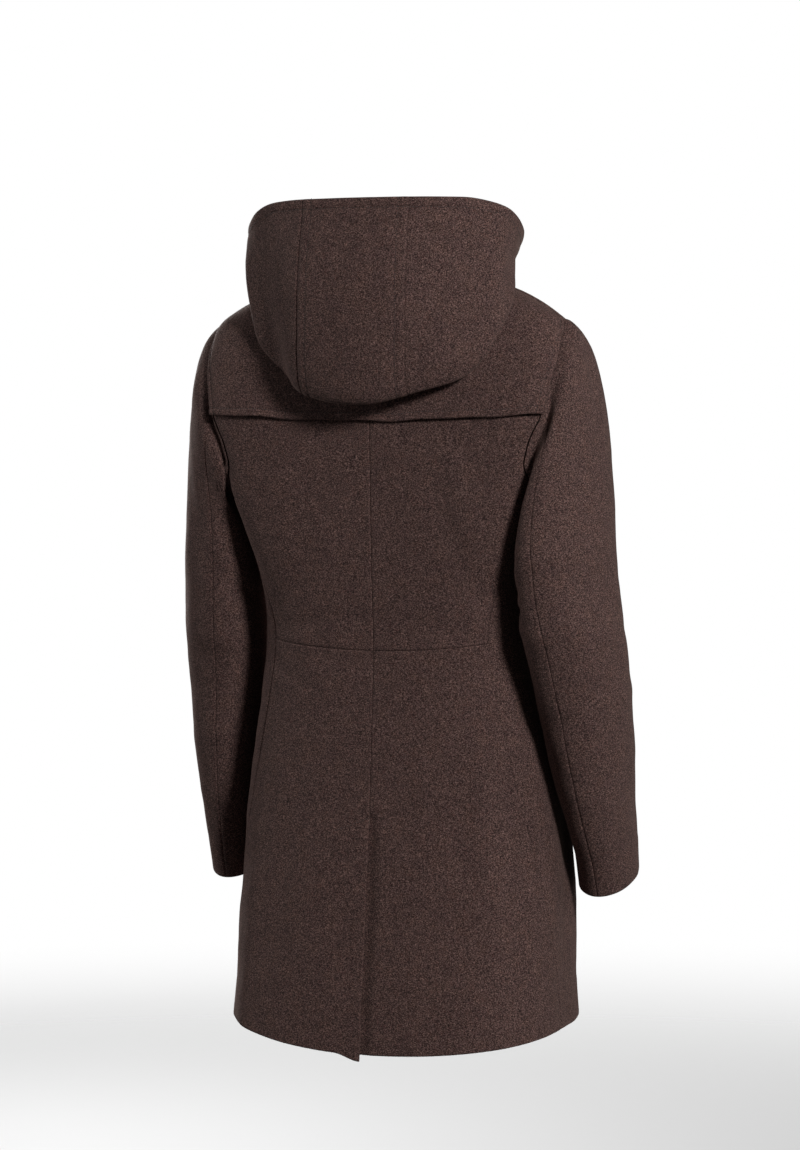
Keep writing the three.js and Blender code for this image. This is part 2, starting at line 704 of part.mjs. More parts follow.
// The toggle's own cord runs from the left patch's edge and passes under its waist
function toggleCord(level) {
  const half = [
    [PATCH_LEFT.from - SEAM_GAP, 5.5, CORD_LOW],
    [37, 6, CORD_LOW],
    [26, 6, CORD_LOW],
    [15, 4.5, CORD_LOW],
  ];
  const up = half.map(([x, rise, out]) => onFront(x, level, rise, out));
  const down = half.map(([x, rise, out]) => onFront(x, level, -rise, out)).reverse();
  return tube([...up, onFront(11, level, 0, CORD_LOW), ...down], CORD_RADIUS, 18, 6);
}

function toggle() {
  const end = TOGGLE_LENGTH / 2;
  const profile = [
    [0, -end],
    [TOGGLE_RADIUS * 0.62, -end + 1],
    [TOGGLE_RADIUS * 0.92, -end + 8],
    [TOGGLE_RADIUS, -9],
    [TOGGLE_WAIST, -3.2],
    [TOGGLE_WAIST, 3.2],
    [TOGGLE_RADIUS, 9],
    [TOGGLE_RADIUS * 0.92, end - 8],
    [TOGGLE_RADIUS * 0.62, end - 1],
    [0, end],
  ].map(([x, y]) => new THREE.Vector2(x, y));
  return new THREE.LatheGeometry(profile, 10);
}

function placeToggle(mesh, level) {
  const x = onFront(TOGGLE_AT + 10, level, 0, 0).sub(onFront(TOGGLE_AT - 10, level, 0, 0)).normalize();
  const q = 2 - TOGGLE_AT * perFront(level);
  const out = bodyOut(q, level);
  const up = out.clone().cross(x).normalize();
  mesh.quaternion.setFromRotationMatrix(new THREE.Matrix4().makeBasis(up, x, out.clone().negate()));
  mesh.position.copy(onFront(TOGGLE_AT, level, 0, TOGGLE_HIGH));
}

// The coat
const coat = new THREE.Group();
function add(name, geometry, material) {
  const mesh = new THREE.Mesh(geometry, material);
  mesh.name = name;
  coat.add(mesh);
  return mesh;
}

for (const [side, hand] of [[1, "left"], [-1, "right"]]) {
  add("upper_back_" + hand, upperBack(side), WOOL);
  const top = FRONT_SEAM_AT;
  add("sleeve_upper_" + hand, sleevePart(side, BACK_SEAM_AT, 2 * HALF - top), WOOL);
  add("sleeve_under_" + hand, sleevePart(side, 2 * HALF - top, 2 * HALF + BACK_SEAM_AT), WOOL);
  add("hood_side_" + hand, hoodSide(side), WOOL);
}
add("skirt_back_left", skirtLeft(), WOOL);
add("skirt_back_right", skirtRight(), WOOL);
add("front_left", front(1, CLOTH + LAY_GAP), WOOL);
add("front_right", front(-1, 0), WOOL);
add("yoke_back", yoke(), WOOL);
add("hood_centre", hoodStrip(), WOOL);
CLOSURE_LEVELS.forEach((level, i) => {
  const number = i + 1;
  add("patch_right_" + number, patch(level, PATCH_RIGHT), LEATHER);
  add("patch_left_" + number, patch(level, PATCH_LEFT), LEATHER);
  add("loop_" + number, loop(level), CORD);
  add("toggle_cord_" + number, toggleCord(level), CORD);
  placeToggle(add("toggle_" + number, toggle(), WOOD), level);
});

export default coat;
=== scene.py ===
# A thigh-length wool duffle coat, worn: hood down, arms hanging, fronts closed.
# The frame is in metres, +Z up, front to -Y, the wearer's left to +X.
# Sizes in the tables are millimetres, and MM turns them into metres as a mesh is made.
import math

import bpy
import numpy as np
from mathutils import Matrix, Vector

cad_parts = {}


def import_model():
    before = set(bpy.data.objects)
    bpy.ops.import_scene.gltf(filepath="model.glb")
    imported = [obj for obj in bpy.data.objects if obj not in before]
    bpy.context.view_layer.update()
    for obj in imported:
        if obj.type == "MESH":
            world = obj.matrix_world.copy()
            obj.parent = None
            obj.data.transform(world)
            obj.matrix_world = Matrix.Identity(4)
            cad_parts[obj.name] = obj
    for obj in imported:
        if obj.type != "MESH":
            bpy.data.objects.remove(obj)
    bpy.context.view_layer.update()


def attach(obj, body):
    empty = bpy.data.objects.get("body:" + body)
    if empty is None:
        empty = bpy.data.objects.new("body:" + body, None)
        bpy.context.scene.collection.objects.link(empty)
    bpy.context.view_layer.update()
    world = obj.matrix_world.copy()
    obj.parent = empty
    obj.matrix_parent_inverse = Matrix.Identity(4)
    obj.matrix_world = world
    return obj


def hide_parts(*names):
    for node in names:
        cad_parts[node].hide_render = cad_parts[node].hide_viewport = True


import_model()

MM = 0.001

# The camera stands behind the coat, turned to its right, and looks a little down
PHOTO_HEIGHT = 1150
PHOTO_MIDDLE = (400, 575)
AXIS_COLUMN = 411
HORIZON_ROW = 420
VIEW_TURN = math.radians(20)
VIEW_DISTANCE = 3500
VIEW_MM_A_PIXEL = 1.10
EYE_HEIGHT = -150
SENSOR = 36

TO_CAMERA = np.array([-math.sin(VIEW_TURN), math.cos(VIEW_TURN), 0])
TO_RIGHT = np.array([-math.cos(VIEW_TURN), -math.sin(VIEW_TURN), 0])
UP = np.array([0, 0, 1.0])

# Cloth and gaps
CLOTH = 3
YOKE_CLOTH = 2.4
LAY_GAP = 0.4

# Seams and edges, as levels: the height of the centre back at that ring
HEM = -823
WAIST = -396
WAIST_RISE = 9
WAIST_BLEND = 60
YOKE_EDGE = -151
UNDERARM = -238
SHOULDER_END = -50
NECK = 8

# Vent at the centre back
VENT_TOP = -574
VENT_SLANT = 16
VENT_UNDERLAP = 40
VENT_EASE = 18
VENT_FADE = 8
VENT_CORNER_DROP = 7
VENT_CORNER_WIDTH = 30
VENT_CORNER_FROM = -760
VENT_CORNER_PROUD = 0.16
VENT_OPENS = 30
VENT_LIFT = 0.9
VENT_LIFT_WIDTH = 16
VENT_CLEAR = 0.8
UNDERLAP_ROWS = np.array([1, 0.985, 0.95, 0.8, 0.6, 0.4, 0.2])

# The hem hangs a little lower on the right side
HEM_DIP = 9
HEM_DIP_FROM = -632

# Front edges, each past the centre front
FRONT_WRAP = 25
FRONT_EASE = 20
NECK_EASE = 1.6

# Hood
HOOD_STRIP = 0.157
HOOD_SEAM = 0.8
HOOD_LIFT = 7
HOOD_REST = 6.5
RIM_SAG = 14
RIM_SAG_AT = 0.44
RIM_SAG_WIDTH = 0.13

# Closures
CLOSURE_LEVELS = [-150, -262, -374, -486]
TOGGLE_LENGTH = 54
TOGGLE_RADIUS = 7.5
TOGGLE_WAIST = 5.4
TOGGLE_AT = 6
TOGGLE_SIDES = 32
CORD_RADIUS = 2.1
PATCH_THICK = 1.8
PATCH_HEIGHT = 34
PATCH_LAY = 0.7
PATCH_RIGHT = (-66, -36)
PATCH_LEFT = (48, 78)
CORD_UNDER = 5
CORD_LOW = CORD_RADIUS + 1
LOOP_RISE = 7
CORD_RISE = 5.5

# How cloth turns in at a seam and rounds at a free edge, and its stitched lines
SEAM_ROUND = 3.0
SEAM_DEPTH = 1.5
FAINT_SEAM = 0.5
EDGE_ROUND = 1.8
EDGE_SHARE = 0.49
STITCH_IN = 8
HOOD_STITCH_IN = 11
YOKE_LIFT = 2.5
YOKE_LOOSE = 11
YOKE_WAVES = [(0.7, 17, 0), (0.5, 9.5, 1.3)]
YOKE_WAVE_LIFT = 0.45
BODY_UNEVEN = 0.5
HOOD_UNEVEN = 0.6
STITCH_GROOVE = 0.7
STITCH_GROOVE_WIDTH = 1.1
STITCH_PUFF = 0.55
STITCH_PITCH = 3.8
STITCH_LENGTH = 2.7
THREAD = 0.34
THREAD_SIDES = 6
THREAD_SUNK = 0.5
GRID = 4.2
NEAR_SEAM = [0, 0.25, 0.7, 1.4, 2.2, 3.2, 5]
NEAR_STITCH = [0, 0.25, 0.7, 1.4, 2.2, 3.4, 5, 6.4, 7.2, 8, 8.8, 9.6, 12]
NEAR_HOOD_STITCH = [0, 0.25, 0.7, 1.4, 2.2, 3.4, 5, 7.4, 9.4, 10.2, 11, 11.8, 12.6, 15]
NEAR_VENT = [0, 0.25, 0.7, 1.4, 2.2, 3.2, 5, 7, 9, 12, 15, 18]
TURN_UP = 38
TURN_UP_CLOTH = 2.2
TURN_UP_STEP = 1.5
TURN_UP_SHOWS = 0.35
TURN_UP_SLOPE = 5


def table(columns, rows):
    """Rows of values as named columns."""
    return dict(zip(columns.split(), np.array(rows, float).T))


# Rings of the body: heights at back, side and front, half width, then depths and squareness
BODY = table("level sideZ frontZ half sideY backY frontY backN frontN", [
    [-823, -797, -765, 186, 5, 163, -150, 2.9, 2.3],
    [-765, -744, -712, 184, 6, 156, -148, 2.8, 2.3],
    [-701, -686, -660, 184, 8, 148, -144, 2.6, 2.3],
    [-632, -622, -600, 181, 8, 139, -139, 2.5, 2.3],
    [-574, -567, -552, 177, 9, 132, -134, 2.5, 2.3],
    [-510, -506, -496, 169, 10, 127, -128, 2.6, 2.3],
    [-447, -445, -440, 157, 12, 123, -119, 2.8, 2.2],
    [-388, -388, -386, 150, 15, 121, -112, 3.0, 2.2],
    [-341, -341, -340, 148, 20, 124, -114, 3.5, 2.2],
    [-296, -296, -296, 154, 27, 128, -119, 4.5, 2.3],
    [-264, -264, -264, 162, 33, 129, -123, 5.5, 2.4],
    [-238, -238, -238, 169, 40, 130, -124, 6.2, 2.5],
    [-209, -207, -212, 176, 46, 131, -122, 6.5, 2.5],
    [-183, -178, -190, 184, 50, 132, -117, 6.5, 2.5],
    [-154, -146, -166, 196, 52, 133, -110, 6.0, 2.5],
    [-120, -108, -140, 201, 55, 130, -101, 5.0, 2.5],
    [-84, -70, -116, 199, 56, 124, -89, 4.0, 2.4],
    [-50, -41, -98, 188, 56, 114, -77, 3.0, 2.3],
    [-27, -21, -88, 155, 53, 106, -65, 2.5, 2.2],
    [-9, -2, -80, 112, 48, 99, -50, 2.2, 2.1],
    [2, 12, -74, 85, 42, 94, -38, 2.1, 2.0],
    [8, 20, -70, 74, 38, 90, -30, 2.0, 2.0],
])

# The seam between back and front on each side: 0 is centre back, 1 the side, 2 centre front
SIDE_SEAM = table("level q", [
    [-823, 0.9], [-765, 0.87], [-632, 0.74], [-510, 0.64],
    [-388, 0.585], [-325, 0.66], [-280, 0.82], [-238, 1.0],
])

# The armhole, underarm to shoulder: its two edges, and how far round the sleeve each point runs on
ARMHOLE = table("level backQ frontQ backTurn frontTurn", [
    [-238, 1.0, 1.0, 0, 0],
    [-233, 0.89, 1.1, 0.06, 0.045],
    [-222, 0.78, 1.18, 0.112, 0.085],
    [-207, 0.71, 1.23, 0.152, 0.125],
    [-183, 0.703, 1.25, 0.195, 0.185],
    [-151, 0.738, 1.245, 0.252, 0.25],
    [-120, 0.785, 1.215, 0.317, 0.315],
    [-90, 0.855, 1.15, 0.385, 0.385],
    [-66, 0.93, 1.07, 0.447, 0.445],
    [-50, 1.0, 1.0, 0.5, 0.5],
])
BACK_SEAM_AT = 5
FRONT_SEAM_AT = 3

# How the sleeve head leaves the armhole and reaches the first arm ring, underarm to shoulder
SLEEVE_HEAD = table("turn outX outY outZ endX endY endZ", [
    [0, 6, 0, -2, 2, 0, 25],
    [0.12, 12, 6, -14, 2, 3, 45],
    [0.25, 17, 8, -24, 0, 4, 85],
    [0.36, 28, 4, -12, -5, 2, 125],
    [0.5, 38, 0, 2, -9, 0, 158],
])

# Rings of the sleeves, cuff to armhole: centre, half sizes, how far the back of the ring
# leans to the body, and the cuff's tilt. The left arm hangs further forward
ARM_COLUMNS = "z x y halfX halfY skew tilt"
LEFT_ARM = table(ARM_COLUMNS, [
    [-648, 217, -40, 31, 50, 0, 0.34],
    [-620, 217.5, -31, 31.5, 51, 1, 0.3],
    [-560, 217.5, -13, 36, 55, 4, 0.2],
    [-493, 216, -2, 42, 59, 7, 0.09],
    [-430, 214, 7, 46, 61, 9, 0.03],
    [-384, 212, 19, 48, 63, 11, 0],
    [-340, 210.5, 25, 47, 65, 12, 0],
    [-290, 210, 31, 45, 66, 14, 0],
])
RIGHT_ARM = table(ARM_COLUMNS, [
    [-648, 217, -40, 31, 50, 0, 0.34],
    [-620, 217.5, -28, 31.5, 51, 1, 0.3],
    [-560, 215.5, -1, 35.5, 55, 5, 0.2],
    [-493, 213, 23, 41.5, 59, 10, 0.09],
    [-430, 209.5, 43, 44.5, 61, 13, 0.03],
    [-384, 206.5, 59, 45.5, 63, 16, 0],
    [-340, 202, 66, 42.5, 65, 18, 0],
    [-290, 201, 73, 40, 66, 20, 0],
])
HEAD_END = -290
CUFF = -648

# The hood, centre back to centre front: its rim, the swell below it, the fold it hangs in,
# the neck seam, and the foot where it leaves the back
HOOD = table(
    "u rimX rimY rimZ outX outY outZ foldX foldY foldZ shift neckQ footQ footLevel",
    [
        [0, 0, 178, 82, 0, 193, -25, 0, 167, -134, -7, 0, 0, -104],
        [0.15, 57, 173, 82, 58, 184, -20, 57, 158, -124, -5, 0.25, 0.22, -96],
        [0.3, 112, 148, 82, 111, 152, -8, 104, 140, -99, 8, 0.5, 0.43, -76],
        [0.42, 146, 110, 73, 146, 122, 8, 135, 126, -62, 7, 0.75, 0.62, -46],
        [0.52, 153, 75, 57, 146, 88, 20, 147, 98, -22, 3, 1.0, 0.82, -22],
        [0.65, 134, 20, 40, 128, 28, 26, 120, 34, 4, 0, 1.3, 1.12, -8],
        [0.8, 100, -30, 2, 95, -27, -9, 88, -23, -24, 0, 1.6, 1.5, -2],
        [0.92, 55, -60, -42, 51, -58, -50, 46, -54, -60, 0, 1.82, 1.79, 2],
        [1, 18, -58, -64, 17, -56, -67, 16, -52, -71, 0, 1.93, 1.92, 4],
    ],
)

# Soft folds of the body: place round from the centre back (left of the coat is +) and level,
# the way each runs (0 level, 90 upright), its half length, half width, bow and height
BODY_FOLDS = table("around level way length width bow out", [
    [0, -300, 90, 120, 46, 0, -2.0],
    [-104, -232, 82, 60, 15, 0.0006, 2.0],
    [-84, -262, 76, 70, 12, 0.0004, -1.6],
    [-118, -330, 70, 50, 10, 0.0008, -1.5],
    [100, -236, 98, 58, 15, -0.0006, 1.8],
    [78, -290, 104, 66, 12, -0.0005, -1.5],
    [112, -350, 118, 44, 10, 0.0008, -1.4],
    [-70, -372, 14, 46, 8, 0.001, -1.3],
    [-100, -420, -22, 52, 9, 0.0008, -1.2],
    [66, -366, -10, 52, 9, -0.0008, -1.5],
    [96, -428, 26, 46, 8, 0.001, -1.2],
    [38, -404, 4, 38, 7, 0, -0.9],
    [-128, -600, 86, 160, 13, 0.0002, 1.9],
    [-92, -660, 94, 130, 17, 0.0002, -1.8],
    [-168, -690, 88, 120, 14, 0, -1.9],
    [-34, -640, 92, 110, 14, 0.0003, -1.7],
    [50, -700, 86, 110, 18, 0.0002, 1.5],
    [104, -640, 98, 130, 15, 0.0002, -1.9],
    [150, -700, 92, 120, 14, 0, 1.8],
    [250, -620, 90, 170, 20, 0.0001, -2.2],
    [-262, -640, 92, 150, 18, 0.0001, -2.0],
    [330, -560, 84, 130, 16, 0.0002, 1.7],
    [-338, -590, 95, 150, 17, 0.0002, 1.8],
    [300, -330, 66, 70, 12, 0.0006, -1.8],
    [-296, -322, 112, 66, 12, 0.0006, -1.8],
    [350, -250, 40, 52, 11, 0.0006, -1.5],
    [-348, -262, 140, 56, 11, 0.0006, -1.6],
])

# Soft folds of the sleeves: turn is round from the underarm (+ to the back), level is the height
SLEEVE_PERIMETER = 330
FOLD_COLUMNS = "turn level way length width bow out"
RIGHT_SLEEVE_FOLDS = table(FOLD_COLUMNS, [
    [0.10, -352, 8, 22, 5, 0.004, -3.2],
    [0.12, -372, -12, 26, 7, 0.003, 1.6],
    [0.14, -330, 20, 30, 7, 0.003, -1.8],
    [0.20, -300, 34, 40, 10, 0.002, 1.6],
    [0.30, -398, 14, 50, 15, 0.001, -2.2],
    [0.36, -250, 64, 60, 16, 0.001, -1.6],
    [0.25, -470, 8, 44, 12, 0.001, -1.6],
    [0.34, -560, -14, 48, 13, 0.001, 1.5],
    [-0.20, -345, -16, 44, 8, 0.002, -2.6],
    [-0.24, -372, 6, 48, 9, 0.002, -2.4],
    [-0.16, -318, -30, 36, 8, 0.002, -2.0],
    [-0.32, -430, 18, 44, 11, 0.001, 1.8],
    [-0.30, -240, -60, 56, 12, 0.001, -1.8],
    [0.06, -560, 84, 70, 12, 0, 1.4],
])
LEFT_SLEEVE_FOLDS = table(FOLD_COLUMNS, [
    [0.12, -338, 14, 24, 6, 0.004, -2.4],
    [0.18, -374, -10, 34, 9, 0.002, -1.6],
    [0.16, -310, 32, 36, 9, 0.002, 1.4],
    [0.34, -262, 66, 62, 14, 0.001, -1.8],
    [0.32, -408, 10, 46, 14, 0.001, -1.8],
    [0.28, -500, -12, 46, 12, 0.001, 1.5],
    [0.26, -590, 8, 40, 11, 0.001, -1.4],
    [-0.18, -338, -14, 40, 8, 0.002, -2.5],
    [-0.22, -366, 10, 50, 9, 0.002, -2.4],
    [-0.30, -440, -18, 40, 11, 0.001, 1.7],
    [-0.28, -246, -58, 56, 12, 0.001, -1.8],
])

# Soft dents of the hood: place across (u) and from neck seam to rim (v), then as above
HOOD_ACROSS = 330
HOOD_ALONG = 52
HOOD_FOLDS = table("u v way length width bow out", [
    [0.05, 5.8, 84, 70, 22, 0, -2.2],
    [-0.28, 5.6, 96, 60, 20, 0.001, 2.0],
    [0.30, 5.4, 80, 60, 20, 0.001, -2.0],
    [-0.12, 5.0, 10, 44, 12, 0.002, 1.6],
    [0.12, 5.2, -14, 40, 11, 0.002, -1.4],
    [-0.42, 5.2, 70, 44, 12, 0.001, -2.0],
    [0.44, 6.1, 100, 40, 13, 0.001, 2.0],
    [0.66, 5.8, 60, 44, 12, 0.001, -2.0],
    [-0.64, 5.9, 118, 44, 12, 0.001, -2.2],
])


# Curves and small helpers
def hermite(a, b, slope_a, slope_b, t):
    t2, t3 = t * t, t * t * t
    return ((2 * t3 - 3 * t2 + 1) * a + (3 * t2 - 2 * t3) * b
            + (t3 - 2 * t2 + t) * slope_a + (t3 - t2) * slope_b)


def read(rows, column, at):
    """A column's value at places in the first one, on a smooth curve that doesn't overshoot the rows."""
    x, y = next(iter(rows.values())), rows[column]
    step = np.diff(x)
    rise = np.diff(y) / step
    between = (rise[:-1] * step[1:] + rise[1:] * step[:-1]) / (step[:-1] + step[1:])
    slope = np.concatenate([rise[:1], np.where(rise[:-1] * rise[1:] <= 0, 0, between), rise[-1:]])
    at = np.clip(at, x[0], x[-1])
    i = np.clip(np.searchsorted(x, at) - 1, 0, len(x) - 2)
    return hermite(y[i], y[i + 1], slope[i] * step[i], slope[i + 1] * step[i], (at - x[i]) / step[i])


def read_all(rows, at):
    return {name: read(rows, name, at) for name in rows}


def smooth(t):
    t = np.clip(t, 0, 1)
    return t * t * (3 - 2 * t)


def unit(v):
    return v / np.maximum(np.linalg.norm(v, axis=-1, keepdims=True), 1e-9)


def even_rows(start, end, near_start, near_end, step):
    """Distances in each row from start to end: those listed near each end, and even ones between."""
    start, end = np.atleast_1d(start).astype(float), np.atleast_1d(end).astype(float)
    length = (end - start)[:, None]
    first, last = near_start[-1], near_end[-1]
    count = max(2, math.ceil((length.max() - first - last) / step))
    middle = first + np.linspace(0, 1, count + 1)[1:-1] * (length - first - last)
    head = np.tile(near_start, (len(length), 1))
    tail = length - np.array(near_end)[::-1]
    return start[:, None] + np.concatenate([head, middle, tail], axis=1)


def levels_between(low, high, near_low, near_high, step=GRID):
    return even_rows(low, high, near_low, near_high, step)[0]


def folds(rows, x, y, across_mm=1.0, along_mm=1.0, wraps=False):
    """The height of all soft folds at places x across and y along, in millimetres."""
    total = np.zeros(np.broadcast(x, y).shape)
    for at_x, at_y, way, length, width, bow, out in zip(*rows.values()):
        dx = x - at_x
        if wraps:
            dx = (dx + 0.5) % 1 - 0.5
        dx, dy = dx * across_mm, (y - at_y) * along_mm
        cosine, sine = math.cos(math.radians(way)), math.sin(math.radians(way))
        along = dx * cosine + dy * sine
        across = dy * cosine - dx * sine - bow * along ** 2
        total += out * np.exp(-(along / length) ** 2 - (across / width) ** 2)
    return total


# Cloth is never quite even: a few long waves in space, with fixed random directions
WAVES = np.random.default_rng(7)
WAVE_SIZES = [95, 70, 52, 38, 27, 19]
WAVES_A_SIZE = 4
WAVES_TOGETHER = 2.5
WAVE_RUNS = unit(WAVES.normal(size=(len(WAVE_SIZES) * WAVES_A_SIZE, 3)))
WAVE_STARTS = WAVES.uniform(0, 2 * np.pi, len(WAVE_RUNS))


def uneven(points, height):
    total = np.zeros(points.shape[:-1])
    for i, (run, start) in enumerate(zip(WAVE_RUNS, WAVE_STARTS)):
        size = WAVE_SIZES[i // WAVES_A_SIZE]
        total += size / WAVE_SIZES[0] * np.sin(2 * np.pi * (points @ run) / size + start)
    return total * height / WAVES_TOGETHER


# The body: half rings measured along the cloth, a row for each millimetre of level
ARC_STEPS = 180
PARTS = 160
LEVELS = np.arange(HEM, NECK + 1.0)
RING = read_all(BODY, LEVELS)


def quarters(depth, squareness):
    """Half widths and depths along a quarter ring for each level, and the quarter's length."""
    angle = np.linspace(0, np.pi / 2, ARC_STEPS + 1)
    xs, ys, lengths = [], [], []
    for half, deep, n in zip(RING["half"], depth, squareness):
        x = half * np.sin(angle) ** (2 / n)
        y = deep * np.abs(np.cos(angle)) ** (2 / n)
        along = np.concatenate([[0], np.cumsum(np.hypot(np.diff(x), np.diff(y)))])
        even = np.linspace(0, along[-1], PARTS + 1)
        xs.append(np.interp(even, along, x))
        ys.append(np.interp(even, along, y))
        lengths.append(along[-1])
    return np.array(xs), np.array(ys), np.array(lengths)


BACK_X, BACK_DEEP, BACK_LENGTH = quarters(RING["backY"] - RING["sideY"], RING["backN"])
FRONT_X, FRONT_DEEP, FRONT_LENGTH = quarters(RING["sideY"] - RING["frontY"], RING["frontN"])
BACK_Y = RING["sideY"][:, None] + BACK_DEEP
FRONT_Y = RING["sideY"][:, None] - FRONT_DEEP


def pick(grid, row, column):
    """A grid's value between its rows and columns."""
    r = np.clip(row.astype(int), 0, grid.shape[0] - 2)
    c = np.clip(column.astype(int), 0, grid.shape[1] - 2)
    fr, fc = row - r, column - c
    low = grid[r, c] * (1 - fc) + grid[r, c + 1] * fc
    high = grid[r + 1, c] * (1 - fc) + grid[r + 1, c + 1] * fc
    return low * (1 - fr) + high * fr


def body(q, level):
    """The coat's outer face: q is 0 at centre back, 1 and -1 at the sides, 2 at centre front."""
    q, level = np.broadcast_arrays(np.asarray(q, float), np.clip(level, HEM, NECK))
    past = np.abs(q) > 2
    side = np.where(q >= 0, 1.0, -1.0) * np.where(past, -1, 1)
    part = np.where(past, 4 - np.abs(q), np.abs(q))
    behind = part <= 1
    row, spot = level - HEM, np.where(behind, part, 2 - part) * PARTS
    x = np.where(behind, pick(BACK_X, row, spot), pick(FRONT_X, row, spot))
    y = np.where(behind, pick(BACK_Y, row, spot), pick(FRONT_Y, row, spot))
    middle = np.where(behind, level, np.interp(level, LEVELS, RING["frontZ"]))
    dip = np.where(side < 0, HEM_DIP * smooth((HEM_DIP_FROM - level) / (HEM_DIP_FROM - HEM)), 0)
    to_side = np.sin(np.pi / 2 * part) ** 2
    z = middle + (np.interp(level, LEVELS, RING["sideZ"]) - dip - middle) * to_side
    return np.stack([side * x, y, z], -1)


# Small steps along the body, to find its directions
DQ = 0.01
DLEVEL = 2


def body_up(q, level):
    return unit(body(q, level + DLEVEL) - body(q, level - DLEVEL))


def body_out(q, level):
    return unit(np.cross(body_up(q, level), body(q + DQ, level) - body(q - DQ, level)))


def per_back(level):
    return 1 / np.interp(level, LEVELS, BACK_LENGTH)


def per_front(level):
    return 1 / np.interp(level, LEVELS, FRONT_LENGTH)


def to_q(around, level):
    """The place q at a distance round the cloth from the centre back."""
    back = 1 / per_back(level)
    return np.where(around <= back, around / back, 1 + (around - back) * per_front(level))


def to_around(q, level):
    back = 1 / per_back(level)
    return np.where(q <= 1, q * back, back + (q - 1) / per_front(level))


def body_folds(q, level):
    around = np.sign(q) * to_around(np.abs(q), level)
    return folds(BODY_FOLDS, around, level)


def waist_level(level, share):
    """The waist seam rises towards the sides, and the rows near it follow."""
    near = np.maximum(0, 1 - np.abs(level - WAIST) / WAIST_BLEND)
    return level + WAIST_RISE * share ** 2 * near


def edge_q(level, column):
    """Where a panel ends: the side seam, then the armhole, then the shoulder seam."""
    above = np.where(level < SHOULDER_END, read(ARMHOLE, column, level), 1)
    return np.where(level <= UNDERARM, read(SIDE_SEAM, "q", level), above)


# Meshes
def new_object(name, vertices, faces, material):
    mesh = bpy.data.meshes.new(name)
    mesh.from_pydata(np.asarray(vertices, float).tolist(), [], faces)
    mesh.materials.append(material)
    mesh.update()
    made = bpy.data.objects.new(name, mesh)
    bpy.context.scene.collection.objects.link(made)
    return made


def solid(name, vertices, faces, material):
    """A smooth closed mesh from points in millimetres, its faces turned outward."""
    made = new_object(name, np.reshape(vertices, (-1, 3)) * MM, faces, material)
    mesh = made.data
    mesh.polygons.foreach_set("use_smooth", [True] * len(mesh.polygons))
    corners = np.array([v.co for v in mesh.vertices])
    mesh.calc_loop_triangles()
    triangles = np.array([t.vertices for t in mesh.loop_triangles])
    a, b, c = (corners[triangles[:, i]] for i in range(3))
    if (a * np.cross(b, c)).sum() < 0:
        mesh.flip_normals()
    return made


def grid_faces(rows, columns, first=0, flip=False, closed=False):
    """Quads over a grid of points numbered row by row."""
    r, c = np.meshgrid(np.arange(rows - 1), np.arange(columns if closed else columns - 1), indexing="ij")
    row, nxt = r * columns, (c + 1) % columns
    quads = np.stack([row + c, row + nxt, row + columns + nxt, row + columns + c], -1).reshape(-1, 4) + first
    return (quads[:, ::-1] if flip else quads).tolist()


def tube_faces(rings, sides, first=0):
    """Quads between closed rings of points, and a face over each end."""
    last = first + (rings - 1) * sides
    ends = [[first + i for i in range(sides)][::-1], [last + i for i in range(sides)]]
    return grid_faces(rings, sides, first, closed=True) + ends


def tube(name, rings, material):
    return solid(name, rings, tube_faces(*np.shape(rings)[:2]), material)


def turns(sides):
    """Even angles round a ring."""
    return np.arange(sides) * 2 * np.pi / sides


